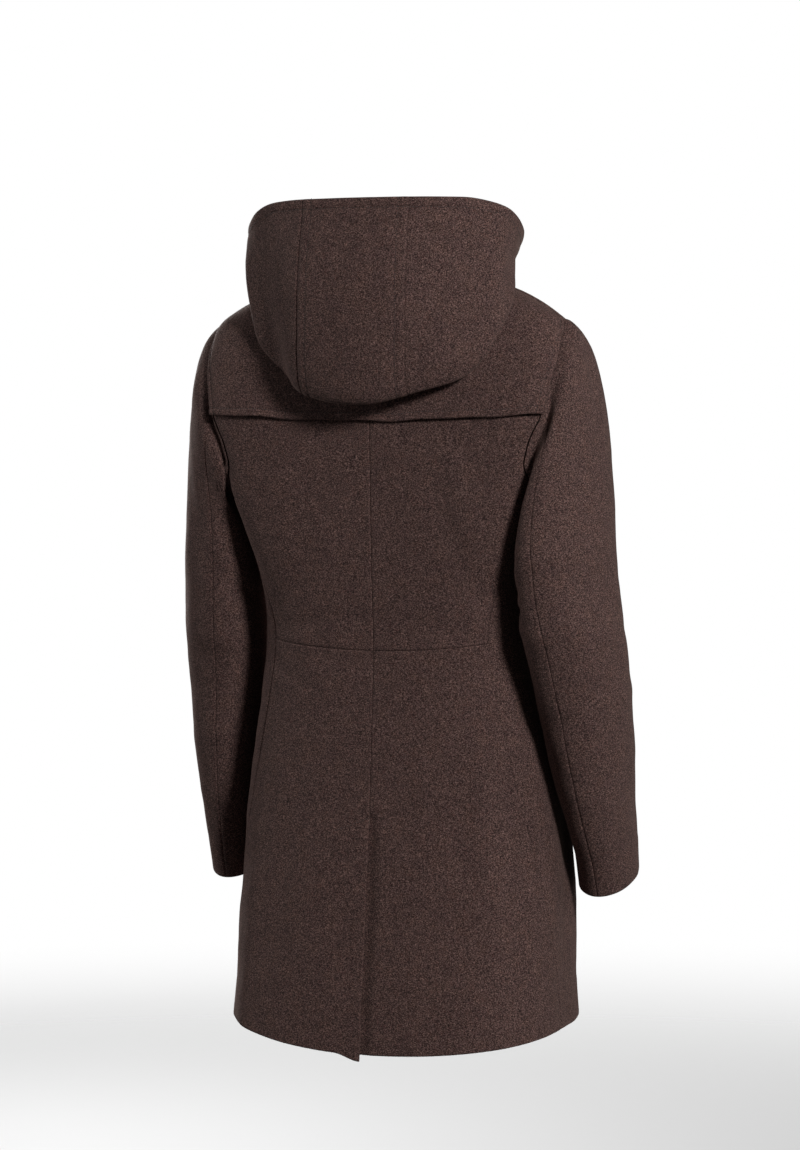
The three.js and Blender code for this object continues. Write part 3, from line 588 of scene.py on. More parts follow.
class Cloth:
    """A grid of points on a panel's outer face, its outward directions and distances to its edges."""

    def __init__(self, points, out, relief=0.0):
        self.out = out
        self.points = points + out * np.asarray(relief)[..., None]
        across = np.linalg.norm(np.diff(points, axis=1), axis=2)
        along = np.linalg.norm(np.diff(points, axis=0), axis=2)
        rows, columns = points.shape[:2]
        from_left = np.concatenate([np.zeros((rows, 1)), np.cumsum(across, 1)], 1)
        from_first = np.concatenate([np.zeros((1, columns)), np.cumsum(along, 0)], 0)
        self.to = {
            "left": from_left,
            "right": from_left[:, -1:] - from_left,
            "first": from_first,
            "last": from_first[-1:] - from_first,
        }
        self.face, self.outer_drop, self.inner_rise, self.more = np.zeros((4, rows, columns))

    def seam(self, edge, depth=SEAM_DEPTH, where=1.0):
        drop = rounding(self.to[edge], SEAM_ROUND, depth) * where
        self.outer_drop = np.maximum(self.outer_drop, drop)
        return self

    def free(self, edge, thick=CLOTH, where=1.0):
        drop = rounding(self.to[edge], EDGE_ROUND, thick * EDGE_SHARE) * where
        self.outer_drop = np.maximum(self.outer_drop, drop)
        self.inner_rise = np.maximum(self.inner_rise, drop)
        return self

    def stitched(self, edge, inset):
        """A sunk line at a distance from an edge, the cloth puffed up between them."""
        distance = self.to[edge]
        groove = STITCH_GROOVE * np.exp(-((distance - inset) / STITCH_GROOVE_WIDTH) ** 2)
        puff = STITCH_PUFF * np.sin(np.pi * np.clip(distance / inset, 0, 1))
        self.face += puff - groove
        return self

    def turned_up(self, edge):
        """The cloth folded up inside along an edge, which shows as a faint step outside."""
        inside = TURN_UP - self.to[edge]
        self.more += TURN_UP_CLOTH * smooth(inside / TURN_UP_STEP + 0.5)
        self.face += TURN_UP_SHOWS * smooth(inside / TURN_UP_SLOPE + 0.5)
        return self

    def line(self, edge, inset):
        """The points and outward directions along a line at a distance from an edge."""
        distance, points, out = self.to[edge], self.outer(), self.out
        if edge in ("first", "last"):
            distance, points, out = distance.T, points.swapaxes(0, 1), out.swapaxes(0, 1)
        flip = -1 if edge in ("right", "last") else 1

        def at_inset(grid):
            return np.array([[np.interp(inset, row[::flip], values[::flip, i]) for i in range(3)]
                             for row, values in zip(distance, grid)])

        return at_inset(points), unit(at_inset(out))

    def outer(self):
        return self.points + self.out * (self.face - self.outer_drop)[..., None]

    def build(self, name, thick=CLOTH):
        rows, columns = self.points.shape[:2]
        inner = self.points - self.out * (thick + self.more - self.inner_rise)[..., None]
        vertices = np.stack([self.outer(), inner])
        count = rows * columns
        faces = grid_faces(rows, columns) + grid_faces(rows, columns, count, flip=True)
        rim = np.concatenate([
            np.arange(columns),
            np.arange(1, rows) * columns + columns - 1,
            (rows - 1) * columns + np.arange(columns - 2, -1, -1),
            np.arange(rows - 2, 0, -1) * columns,
        ])
        nxt = np.roll(rim, -1)
        faces += np.stack([nxt, rim, rim + count, nxt + count], -1).tolist()
        return solid(name, vertices, faces, WOOL)


def rounding(distance, width, depth):
    """How far a face falls near an edge, as a quarter of an ellipse."""
    t = np.clip(1 - distance / width, 0, 1)
    return depth * (1 - np.sqrt(1 - t * t))


def even_along(points, pitch, *others):
    """Points and other values at even distances along a line."""
    along = np.concatenate([[0], np.cumsum(np.linalg.norm(np.diff(points, axis=0), axis=1))])
    at = np.arange(pitch / 2, along[-1], pitch)
    return [np.stack([np.interp(at, along, v[:, i]) for i in range(3)], -1) for v in (points, *others)]


def stitches(name, lines, pitch=STITCH_PITCH, length=STITCH_LENGTH, radius=THREAD):
    """Short lengths of thread along each line, sunk a little into the cloth."""
    places = [(-0.5, 0.25), (-0.3, 1), (0.3, 1), (0.5, 0.25)]
    vertices, faces = [], []
    for points, out in lines:
        middle, out = even_along(points, pitch, out)
        run = unit(np.gradient(middle, axis=0))
        out = unit(out - run * (out * run).sum(-1, keepdims=True))
        side = np.cross(run, out)
        for place, ahead, up, aside in zip(middle, run, out, side):
            first = len(vertices)
            for share, size in places:
                centre = place + ahead * length * share + up * radius * (0.9 * size - THREAD_SUNK)
                for angle in turns(THREAD_SIDES):
                    way = aside * math.cos(angle) + up * math.sin(angle)
                    vertices.append(centre + radius * size * way)
            faces += tube_faces(len(places), THREAD_SIDES, first)
    return solid(name, vertices, faces, THREAD_MATERIAL)


# Materials
def linear(red, green, blue):
    """An sRGB colour from 0 to 255 as Blender's linear one."""
    line = [((v / 255 + 0.055) / 1.055) ** 2.4 if v > 10 else v / 255 / 12.92 for v in (red, green, blue)]
    return (*line, 1)


def grey(value):
    return (value, value, value, 1)


class Look:
    """A material and its nodes. Most methods add one node and give back its output."""

    def __init__(self, name, roughness, **settings):
        self.material = bpy.data.materials.new(name)
        self.material.use_nodes = True
        self.nodes = self.material.node_tree.nodes
        self.links = self.material.node_tree.links
        self.principled = self.nodes["Principled BSDF"]
        self.space = self.nodes.new("ShaderNodeTexCoord").outputs["Object"]
        self.put(self.principled, Roughness=roughness, **settings)

    def put(self, node, **inputs):
        """Sets a node's inputs, each to a value or to another node's output."""
        for name, value in inputs.items():
            self.join(node.inputs[name.replace("_", " ")], value)
        return node

    def join(self, socket, value):
        if hasattr(value, "is_output"):
            self.links.new(value, socket)
        else:
            socket.default_value = value

    def add(self, kind, **inputs):
        return self.put(self.nodes.new("ShaderNode" + kind), **inputs)

    def noise(self, vector, scale, detail=2.0, roughness=0.5, distortion=0.0):
        made = self.add("TexNoise", Vector=vector, Scale=scale, Detail=detail, Roughness=roughness,
                        Distortion=distortion)
        return made.outputs["Fac"]

    def ramp(self, value, *stops):
        node = self.add("ValToRGB", Fac=value)
        elements = node.color_ramp.elements
        while len(elements) < len(stops):
            elements.new(0.5)
        for element, (at, colour) in zip(elements, stops):
            element.position = at
            element.color = colour
        return node.outputs["Color"]

    def mix(self, share, a, b, blend="MIX"):
        node = self.nodes.new("ShaderNodeMix")
        node.data_type = "RGBA"
        node.blend_type = blend
        colours = [s for s in node.inputs if s.type == "RGBA"]
        for socket, value in zip([node.inputs["Factor"], *colours], (share, a, b)):
            self.join(socket, value)
        return next(s for s in node.outputs if s.type == "RGBA")

    def stretched(self, vector, scale, turn=0.0):
        return self.add("Mapping", Vector=vector, Scale=scale, Rotation=(0, turn, 0)).outputs["Vector"]

    def times(self, value, factor):
        node = self.nodes.new("ShaderNodeMath")
        node.operation = "MULTIPLY"
        for socket, term in zip(node.inputs, (value, factor)):
            self.join(socket, term)
        return node.outputs["Value"]

    def bump(self, height, strength, distance, **below):
        made = self.add("Bump", Height=height, Strength=strength, Distance=distance, **below)
        return made.outputs["Normal"]

    def done(self, colour, normal):
        self.put(self.principled, Base_Color=colour, Normal=normal)
        return self.material


def wool_material():
    """Dark brown brushed wool: a twill underneath, mottled, with lighter and reddish fibres."""
    look = Look("wool", 0.92, Sheen_Weight=0.28, Sheen_Roughness=0.45, Specular_IOR_Level=0.18,
                Sheen_Tint=linear(196, 172, 160))
    twill = look.stretched(look.space, (1.0, 1.0, 1.5), math.radians(38))
    across = look.stretched(look.space, (1.3, 1.0, 1.0), math.radians(-30))
    grain = look.noise(twill, 700, 2, 0.6)
    fine = look.noise(across, 1000, 1, 0.6)
    base = look.ramp(grain, (0.34, linear(34, 25, 24)), (0.46, linear(64, 49, 46)),
                     (0.54, linear(84, 65, 61)), (0.66, linear(138, 109, 102)))
    dark = look.ramp(fine, (0.34, grey(0.35)), (0.5, grey(1.0)), (0.66, grey(1.7)))
    colour = look.mix(0.8, base, dark, "MULTIPLY")
    for scale, least, most, share, fibre in (
            (560, 0.58, 0.66, 0.4, linear(102, 64, 60)), (760, 0.58, 0.64, 0.5, linear(146, 114, 108))):
        where = look.ramp(look.noise(across, scale, 1, 0.5), (least, grey(0)), (most, grey(1)))
        colour = look.mix(look.times(where, share), colour, fibre)
    patchy = look.ramp(look.noise(look.space, 70, 3, 0.6), (0.3, (0.9, 0.89, 0.92, 1)),
                       (0.5, grey(1)), (0.7, (1.08, 1.05, 1.01, 1)))
    colour = look.mix(1.0, colour, patchy, "MULTIPLY")
    nap = look.bump(grain, 0.3, 0.0005)
    hair = look.bump(fine, 0.3, 0.0003, Normal=nap)
    soft = look.bump(look.noise(look.space, 60, 3, 0.5), 0.25, 0.0016, Normal=hair)
    return look.done(colour, soft)


def thread_material():
    look = Look("thread", 0.6, Sheen_Weight=0.2)
    twist = look.noise(look.space, 2600, 2)
    colour = look.ramp(twist, (0.3, linear(44, 31, 28)), (0.7, linear(76, 56, 50)))
    return look.done(colour, look.bump(twist, 0.5, 0.0002))


def leather_material():
    look = Look("leather", 0.55, Specular_IOR_Level=0.45)
    cells = look.add("TexVoronoi", Vector=look.space, Scale=900)
    cells.feature = "DISTANCE_TO_EDGE"
    wear = look.noise(look.space, 130, 4, 0.6)
    colour = look.ramp(wear, (0.3, linear(38, 24, 19)), (0.6, linear(54, 35, 27)),
                       (0.8, linear(74, 50, 38)))
    pores = look.ramp(cells.outputs["Distance"], (0.0, grey(0)), (0.12, grey(1)))
    return look.done(colour, look.bump(wear, 0.4, 0.0006, Normal=look.bump(pores, 0.5, 0.0003)))


def cord_material():
    look = Look("cord", 0.75, Sheen_Weight=0.25)
    fibre = look.noise(look.space, 1500, 3, 0.6)
    colour = look.ramp(fibre, (0.3, linear(30, 21, 18)), (0.7, linear(62, 45, 38)))
    return look.done(colour, look.bump(fibre, 0.6, 0.0003))


def toggle_material():
    """Dark stained wood, its grain along the toggle, with a satin finish."""
    look = Look("toggle_wood", 0.32, Coat_Weight=0.35, Coat_Roughness=0.2, Specular_IOR_Level=0.5)
    rings = look.noise(look.stretched(look.space, (0.12, 1.0, 1.0)), 700, 4, 0.65, 0.6)
    colour = look.ramp(rings, (0.3, linear(34, 20, 13)), (0.5, linear(62, 38, 24)),
                       (0.72, linear(98, 64, 40)))
    return look.done(colour, look.bump(rings, 0.3, 0.0003))


WOOL = wool_material()
THREAD_MATERIAL = thread_material()
LEATHER = leather_material()
CORD = cord_material()
WOOD = toggle_material()


def finish_piece(made, node=None):
    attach(made, "root")
    if node:
        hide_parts(node)


# Panels of the body
def body_cloth(side, around, level, drop=0.0, out=0.0):
    """A panel on one side of the body, at distances round it from the centre back and at levels."""
    q = side * to_q(around, level)
    ways = body_out(q, level)
    points = body(q, level)
    points[..., 2] -= drop
    relief = out + body_folds(q, level) + uneven(points, BODY_UNEVEN)
    return Cloth(points, ways, relief)


def back_span(level):
    """How far round a back panel reaches at each level."""
    return edge_q(waist_level(level, 1), "backQ") / per_back(level)


def from_centre(levels, near_centre):
    """How far round the places of a back panel are, and how far each of its rows reaches."""
    reach = back_span(levels)
    around = even_rows(np.zeros(len(levels)), reach, near_centre, NEAR_SEAM, GRID)
    return around, reach[:, None]


def upper_back(side, hand):
    levels = levels_between(WAIST, NECK, NEAR_SEAM, NEAR_SEAM)
    around, reach = from_centre(levels, NEAR_SEAM)
    cloth = body_cloth(side, around, waist_level(levels[:, None], around / reach))
    return cloth.seam("left").seam("right").seam("first").seam("last").build("back_upper_" + hand)


def yoke():
    """The yoke hangs loose on both halves of the upper back, stitched along its edge and armholes."""
    levels = levels_between(YOKE_EDGE, NECK, NEAR_STITCH, NEAR_SEAM)
    reach = back_span(levels)
    around = even_rows(-reach, reach, NEAR_STITCH, NEAR_STITCH, GRID)
    level = np.broadcast_to(levels[:, None], around.shape)
    near = np.exp(-(level - YOKE_EDGE) / YOKE_LOOSE)
    wave = sum(height * np.sin(around / size + start) for height, size, start in YOKE_WAVES)
    lift = YOKE_LIFT * (1 + YOKE_WAVE_LIFT * wave) * near
    cloth = body_cloth(1, around, level, -wave * near, LAY_GAP + YOKE_CLOTH + lift)
    cloth.free("first", YOKE_CLOTH).seam("left").seam("right").seam("last")
    edges = ("first", "left", "right")
    for edge in edges:
        cloth.stitched(edge, STITCH_IN)
    lines = [cloth.line(edge, STITCH_IN) for edge in edges]
    return cloth.build("yoke", YOKE_CLOTH), stitches("yoke_stitching", lines)


def skirt_levels():
    """Levels from hem to waist, close together where the vent ends."""
    low = levels_between(HEM, VENT_TOP, NEAR_SEAM, [4, 6])
    high = levels_between(VENT_TOP + 4, WAIST, [0, 4], NEAR_SEAM)
    return np.concatenate([low, [VENT_TOP - 2, VENT_TOP, VENT_TOP + 2], high[1:]])


def skirt_left():
    levels = skirt_levels()
    around, reach = from_centre(levels, NEAR_STITCH)
    level = waist_level(levels[:, None], around / reach)
    near = smooth(1 - around / VENT_CORNER_WIDTH)
    drop = VENT_CORNER_DROP * near * smooth((VENT_CORNER_FROM - level) / (VENT_CORNER_FROM - HEM))
    below = smooth((VENT_TOP - level) / VENT_OPENS)
    lifted = VENT_LIFT * below * np.exp(-around / VENT_LIFT_WIDTH)
    cloth = body_cloth(1, around, level, drop, VENT_CORNER_PROUD * drop + lifted)
    cloth.seam("left", where=1 - below).free("left", where=below).seam("right").seam("last")
    cloth.free("first").turned_up("first")
    slant = np.linspace(1, VENT_UNDERLAP, 12)[None]
    stitched = body_cloth(1, slant, VENT_TOP - VENT_SLANT * slant / VENT_UNDERLAP)
    thread = stitches("vent_stitching", [(stitched.outer()[0], stitched.out[0])])
    return cloth.build("skirt_left"), thread


def skirt_right():
    levels = skirt_levels()
    lap = VENT_UNDERLAP * np.clip((VENT_TOP - levels) / VENT_SLANT, 0, 1)
    under = -lap[:, None] * UNDERLAP_ROWS - np.linspace(0.06, 0.01, len(UNDERLAP_ROWS))
    around, reach = from_centre(levels, NEAR_VENT)
    around = np.concatenate([under, around], axis=1)
    level = waist_level(levels[:, None], np.maximum(around, 0) / reach)
    below = smooth((VENT_TOP + VENT_FADE - level) / VENT_FADE)
    deep = (CLOTH + LAY_GAP + VENT_CLEAR) * below * smooth((VENT_EASE - around) / (VENT_EASE - 1))
    cloth = body_cloth(-1, around, level, out=-deep)
    seam = rounding(np.abs(around), SEAM_ROUND, SEAM_DEPTH) * (1 - below)
    cloth.outer_drop = np.maximum(cloth.outer_drop, seam)
    cloth.seam("right", FAINT_SEAM).seam("last").free("first").turned_up("first")
    return cloth.build("skirt_right")


def front(side, hand, lies):
    """A front with its side. The right one laps over the left one."""
    levels = levels_between(HEM, NECK, NEAR_SEAM, NEAR_SEAM)
    start = to_around(edge_q(levels, "frontQ"), levels)
    centre = 1 / per_back(levels) + 1 / per_front(levels)
    around = even_rows(start, centre + FRONT_WRAP, NEAR_SEAM, NEAR_STITCH, GRID)
    level = np.broadcast_to(levels[:, None], around.shape)
    ease = NECK_EASE * smooth((level - SHOULDER_END) / (NECK - SHOULDER_END))
    depth = lies + ease if lies else 0
    to_centre = centre[:, None] - around
    lap = -depth * smooth((FRONT_WRAP + FRONT_EASE - to_centre) / (FRONT_EASE - 2))
    cloth = body_cloth(side, around, level, out=lap)
    cloth.seam("left").free("right").stitched("right", STITCH_IN).seam("last")
    cloth.free("first").turned_up("first")
    made = cloth.build("front_cloth_" + hand)
    return made, stitches("front_stitching_" + hand, [cloth.line("right", STITCH_IN)])


# Sleeves. k runs round the armhole by the rows of its table: 0 underarm, 9 shoulder, 18 underarm
HALF = len(ARMHOLE["level"]) - 1


def armhole(k):
    k = k % (2 * HALF)
    behind = k <= HALF
    place = np.where(behind, k, 2 * HALF - k)
    level = np.interp(place, np.arange(HALF + 1), ARMHOLE["level"])
    at = read_all(ARMHOLE, level)
    q = np.where(behind, at["backQ"], at["frontQ"])
    turn = np.where(behind, at["backTurn"], at["frontTurn"])
    return behind, level, q, turn


def arm_ring(side, turn, behind, z):
    rows = LEFT_ARM if side > 0 else RIGHT_ARM
    at = read_all(rows, z)
    angle = np.pi - 2 * np.pi * turn
    lean = np.where(behind, 1, -1) * np.sin(angle)
    y = at["halfY"] * lean
    x = at["x"] + at["halfX"] * np.cos(angle) - at["skew"] * lean
    return np.stack([side * x, at["y"] + y, z - at["tilt"] * y], -1)


def sleeve(side, k, s):
    """s from 0 to 1 runs down the sleeve head, and from 1 on it is 1 plus the depth below it."""
    k, s = np.broadcast_arrays(np.asarray(k, float), np.asarray(s, float))
    behind, level, q, turn = armhole(k)
    start = body(side * q, level)
    end = arm_ring(side, turn, behind, np.full(s.shape, float(HEAD_END)))
    way = np.where(behind, 1, -1)
    at = read_all(SLEEVE_HEAD, turn)
    leave = start + np.stack([side * at["outX"], way * at["outY"], at["outZ"]], -1)
    arrive = end + np.stack([side * at["endX"], way * at["endY"], at["endZ"]], -1)
    t = np.clip(s, 0, 1)[..., None]
    left = 1 - t
    head = left ** 3 * start + 3 * t * left ** 2 * leave + 3 * t * t * left * arrive + t ** 3 * end
    arm = arm_ring(side, turn, behind, HEAD_END - np.maximum(s - 1, 0))
    return np.where((s > 1)[..., None], arm, head)


def sleeve_out(side, k, s):
    ds = np.where(s > 1, 2, 0.01)
    down = sleeve(side, k, np.maximum(s, 0) + ds) - sleeve(side, k, np.maximum(s - ds, 0))
    round_it = sleeve(side, k + 0.1, s) - sleeve(side, k - 0.1, s)
    return -unit(np.cross(down, round_it)) * side


HEAD_LENGTH = 190
HEAD_ROWS = 48
HEAD_SEAM_DEPTH = 1.2

# The crease between sleeve and back, from the underarm up to the yoke, by the armhole's rows
CREASE_FROM = 0.5
CREASE_TO = 6.6
CREASE_STARTS = 1.5
CREASE_ENDS = 1.8
CREASE_DEPTH = 9
CREASE_WIDTH = 22
CREASE_OFF_SEAM = 5


def sleeve_cloth(side, hand, part, start, end):
    rows = RIGHT_SLEEVE_FOLDS if side < 0 else LEFT_SLEEVE_FOLDS
    head = np.concatenate([np.array(NEAR_SEAM[:-1]) / HEAD_LENGTH, np.linspace(0.035, 1, HEAD_ROWS)])
    arm = levels_between(0, HEAD_END - CUFF, [4], NEAR_SEAM)
    s = np.concatenate([head, 1 + arm])[:, None]
    girth = SLEEVE_PERIMETER / (2 * HALF)
    k = even_rows(start * girth, end * girth, NEAR_SEAM, NEAR_SEAM, GRID)[0][None] / girth
    k, s = np.broadcast_arrays(k, s)
    points = sleeve(side, k, s)
    behind, _, _, turn = armhole(k)
    signed = np.where(behind, turn, -turn)
    relief = folds(rows, signed, points[..., 2], SLEEVE_PERIMETER, wraps=True)
    relief = relief * smooth(s * 4) + uneven(points, BODY_UNEVEN) * smooth(s * 6)
    cloth = Cloth(points, sleeve_out(side, k, s), relief)
    behind_arm = smooth((k - CREASE_FROM) / CREASE_STARTS) * smooth((CREASE_TO - k) / CREASE_ENDS)
    away = cloth.to["first"]
    crease = behind_arm * smooth(away / CREASE_OFF_SEAM) * np.exp(-(away / CREASE_WIDTH) ** 2)
    cloth.points -= cloth.out * (CREASE_DEPTH * crease)[..., None]
    cloth.seam("left").seam("right").seam("first", HEAD_SEAM_DEPTH).free("last").turned_up("last")
    return cloth.build("sleeve_" + part + "_cloth_" + hand)


# Hood. u runs from the centre back to the front on each side, v from the neck seam to the rim
MIRRORED = ("u", "rimX", "outX", "foldX", "neckQ", "footQ")
HOOD_BOTH = {
    name: np.concatenate([(-1 if name in MIRRORED else 1) * column[:0:-1], column])
    for name, column in HOOD.items()
}


def over(q, level, out):
    return body(q, level) + body_out(q, level) * np.asarray(out)[..., None]


def hood_line(u):
    """The points of the hood's section at each u, from the neck seam to the rim."""
    at = read_all(HOOD_BOTH, u)

    def spot(name, part):
        return np.stack([at[name + "X"] - at["shift"] * part, at[name + "Y"], at[name + "Z"]], -1)

    def rest(part, out):
        q = at["neckQ"] + (at["footQ"] - at["neckQ"]) * part
        return over(q, NECK + (at["footLevel"] - NECK) * part, out)

    sag = RIM_SAG * np.exp(-((u - RIM_SAG_AT) / RIM_SAG_WIDTH) ** 2)
    neck = np.full(np.shape(u), float(NECK))
    seam, up, out = body(at["neckQ"], neck), body_up(at["neckQ"], neck), body_out(at["neckQ"], neck)
    return np.stack([
        seam + up * HOOD_SEAM, seam + up * HOOD_LIFT + out * 2,
        rest(0.12, HOOD_REST + 3), rest(0.55, HOOD_REST), rest(1, HOOD_REST),
        spot("fold", 1), spot("out", 0.3), spot("rim", 0) - UP * sag[..., None],
    ])


HOOD_TOP = 7
HOOD_RIM_STEP = 112
HOOD_ROWS = 84

# The hood's dents begin past its fold
DENTS_FROM = 3.6
DENTS_FADE = 1.2


def hood_point(u, v):
    """Points of the hood for arrays u and v of one shape."""
    lines = hood_line(u)
    gap = np.linalg.norm(np.diff(lines, axis=0), axis=-1)[..., None]
    ways = np.diff(lines, axis=0) / gap
    share = gap[:-1] / (gap[:-1] + gap[1:])
    slopes = np.concatenate([ways[:1], ways[:-1] * (1 - share) + ways[1:] * share, ways[-1:]])
    i = np.clip(np.floor(v).astype(int), 0, HOOD_TOP - 1)

    def take(values, index):
        return np.take_along_axis(values, index[None, ..., None], 0)[0]

    width = take(gap, i)
    t = (v - i)[..., None]
    slope, next_slope = take(slopes, i) * width, take(slopes, i + 1) * width
    return hermite(take(lines, i), take(lines, i + 1), slope, next_slope, t)


def hood_out(u, v):
    du, dv = 0.004, 0.05
    across = hood_point(np.minimum(u + du, 1), v) - hood_point(np.maximum(u - du, -1), v)
    along = hood_point(u, np.minimum(v + dv, HOOD_TOP)) - hood_point(u, np.maximum(v - dv, 0))
    return -unit(np.cross(across, along))


def hood_cloth(start, end, near_edge):
    u = even_rows(start * HOOD_ACROSS, end * HOOD_ACROSS, near_edge, near_edge, GRID)[0] / HOOD_ACROSS
    rim = HOOD_TOP - np.array(NEAR_HOOD_STITCH[::-1]) / HOOD_RIM_STEP
    near_neck = [0, 0.02, 0.1, 0.3, 0.55, 0.8]
    v = np.concatenate([near_neck, np.linspace(1, rim[0], HOOD_ROWS)[:-1], rim])
    u, v = np.meshgrid(u, v)
    points = hood_point(u, v)
    relief = folds(HOOD_FOLDS, u, v, HOOD_ACROSS, HOOD_ALONG) + uneven(points, HOOD_UNEVEN)
    cloth = Cloth(points, hood_out(u, v), relief * smooth((v - DENTS_FROM) / DENTS_FADE))
    return cloth.free("last").stitched("last", HOOD_STITCH_IN)


def hood():
    """The two sides, then the centre strip, which is stitched along both of its seams."""
    pieces, lines = [], []
    for hand, span, seam, edge, depth in (
            ("left", (HOOD_STRIP, 1), "left", "right", SEAM_DEPTH),
            ("right", (-1, -HOOD_STRIP), "right", "left", FAINT_SEAM)):
        cloth = hood_cloth(*span, NEAR_SEAM).seam(seam, depth).free(edge)
        pieces.append((cloth.build("hood_cloth_" + hand), "hood_side_" + hand, "hood_side"))
        lines.append(cloth.line("last", HOOD_STITCH_IN))
    strip = hood_cloth(-HOOD_STRIP, HOOD_STRIP, NEAR_HOOD_STITCH).seam("left", FAINT_SEAM).seam("right")
    strip.stitched("left", HOOD_STITCH_IN).stitched("right", HOOD_STITCH_IN)
    pieces.append((strip.build("hood_strip"), "hood_centre", "hood_centre"))
    lines += [strip.line(edge, HOOD_STITCH_IN) for edge in ("left", "right", "last")]
    return pieces, stitches("hood_stitching", lines)


# Closures. A place on the front: x across from the centre front, rise above the closure's level
def on_front(x, level, rise, out):
    x, rise, out = np.broadcast_arrays(*(np.asarray(v, float) for v in (x, rise, out)))
    q = 2 - np.abs(x) * per_front(level + rise)
    return over(np.where(x >= 0, q, -q), level + rise, out)


PATCH_STITCH_IN = 3.2
PATCH_STITCH = (2.6, 1.8, 0.26)
PATCH_ROUND = 0.42
PATCH_SIDES = 96
PATCH_SUNK = 0.4
PATCH_EDGE = 0.9
PATCH_EDGE_THIN = 0.25
PATCH_GROOVE = 0.45
PATCH_GROOVE_WIDTH = 0.7
PATCH_PUFF = 0.25
PATCH_PUFF_WIDTH = 3
PATCH_RIDGE = 2.7
PATCH_RIDGE_WIDTH = 3.4
PATCH_RIDGE_LENGTH = 15
PATCH_RINGS = [1.0, 0.985, 0.95, 0.9, 0.85, 0.8, 0.75, 0.7, 0.55, 0.4, 0.2, 0.02]


def patch(name, level, span, cord_edge, cord_rise):
    """A leather piece with round corners, its face raised over the two cords that end under one edge."""
    def over_cords(flat):
        across = np.exp(-((np.abs(flat[:, 1]) - cord_rise) / PATCH_RIDGE_WIDTH) ** 2)
        return PATCH_RIDGE * across * smooth(1 - np.abs(flat[:, 0] - cord_edge) / PATCH_RIDGE_LENGTH)

    half = np.array([(span[1] - span[0]) / 2, PATCH_HEIGHT / 2])
    middle = np.array([(span[0] + span[1]) / 2, 0.0])
    angle = turns(PATCH_SIDES)
    shape = np.stack([np.cos(angle), np.sin(angle)], -1)
    shape = np.sign(shape) * np.abs(shape) ** PATCH_ROUND
    edge = middle + shape * half
    rings = [on_front(edge[:, 0], level, edge[:, 1], PATCH_LAY - PATCH_SUNK)]
    for ring in PATCH_RINGS:
        flat = middle + shape * half * ring
        inset = (1 - ring) * half[0]
        full = 1 - max(0, 1 - inset / PATCH_EDGE) ** 2
        thick = PATCH_THICK * math.sqrt(full * (1 - PATCH_EDGE_THIN) + PATCH_EDGE_THIN)
        groove = PATCH_GROOVE * math.exp(-((inset - PATCH_STITCH_IN) / PATCH_GROOVE_WIDTH) ** 2)
        puff = PATCH_PUFF * min(1, inset / PATCH_PUFF_WIDTH)
        out = PATCH_LAY + thick - groove + puff + over_cords(flat)
        rings.append(on_front(flat[:, 0], level, flat[:, 1], out))
    made = tube("leather_" + name, rings, LEATHER)
    flat = middle + np.concatenate([shape, shape[:1]]) * (half - PATCH_STITCH_IN)
    out = PATCH_LAY + PATCH_THICK - PATCH_PUFF + over_cords(flat)
    line = on_front(flat[:, 0], level, flat[:, 1], out)
    q = 2 - np.abs(flat[:, 0]) * per_front(level)
    out = body_out(np.where(flat[:, 0] >= 0, q, -q), level + flat[:, 1])
    return made, stitches("stitching_" + name, [(line, out)], *PATCH_STITCH)


def curve_through(points, steps):
    """A smooth line through points, its bends by the root of their distances."""
    points = np.asarray(points, float)
    padded = np.concatenate([[2 * points[0] - points[1]], points, [2 * points[-1] - points[-2]]])
    line = []
    for i in range(len(points) - 1):
        a, b, c, d = padded[i:i + 4]
        d0, d1, d2 = (max(np.linalg.norm(v) ** 0.5, 1e-4) for v in (b - a, c - b, d - c))
        slope_b = ((b - a) / d0 - (c - a) / (d0 + d1) + (c - b) / d1) * d1
        slope_c = ((c - b) / d1 - (d - b) / (d1 + d2) + (d - c) / d2) * d1
        t = np.linspace(0, 1, steps, endpoint=False)[:, None]
        line.append(hermite(b, c, slope_b, slope_c, t))
    return np.concatenate([*line, points[-1:]])


BRAID_STRANDS = 8
BRAID_PITCH = 9.0
BRAID_STEP = 0.45
BRAID_SIDES = 20
BRAID_RELIEF = 0.1
BRAID_TIP = 0.55
BRAID_TIP_LENGTH = 1.2


def braided(name, points):
    """A round braid: strands wind both ways, and each raises the face where it lies on top."""
    line, = even_along(curve_through(points, 40), BRAID_STEP)
    run = unit(np.gradient(line, axis=0))
    side = unit(np.cross(run, UP + 0.01))
    for i in range(1, len(side)):
        side[i] = unit(side[i - 1] - run[i] * (side[i - 1] @ run[i]))
    other = np.cross(run, side)
    angle = turns(BRAID_SIDES)
    along = np.arange(len(line))[:, None] * BRAID_STEP
    strands = BRAID_STRANDS / 2
    wound = strands * np.pi * along / BRAID_PITCH
    on_top = np.maximum(np.cos(strands * angle + wound), np.cos(strands * angle - wound))
    ends = np.minimum(along, along[::-1])
    tips = BRAID_TIP + (1 - BRAID_TIP) * smooth(ends / BRAID_TIP_LENGTH)
    radius = CORD_RADIUS * (1 - BRAID_RELIEF + BRAID_RELIEF * on_top) * tips
    round_it = side[:, None] * np.cos(angle)[:, None] + other[:, None] * np.sin(angle)[:, None]
    return tube(name, line[:, None] + radius[..., None] * round_it, CORD)


TOGGLE_GAP = 0.5
TOGGLE_HIGH = CORD_LOW + CORD_RADIUS + TOGGLE_GAP + TOGGLE_RADIUS


def mirrored_route(half, middle, level):
    up = [on_front(x, level, rise, out) for x, rise, out in half]
    down = [on_front(x, level, -rise, out) for x, rise, out in half[::-1]]
    return up + [on_front(*middle)] + down


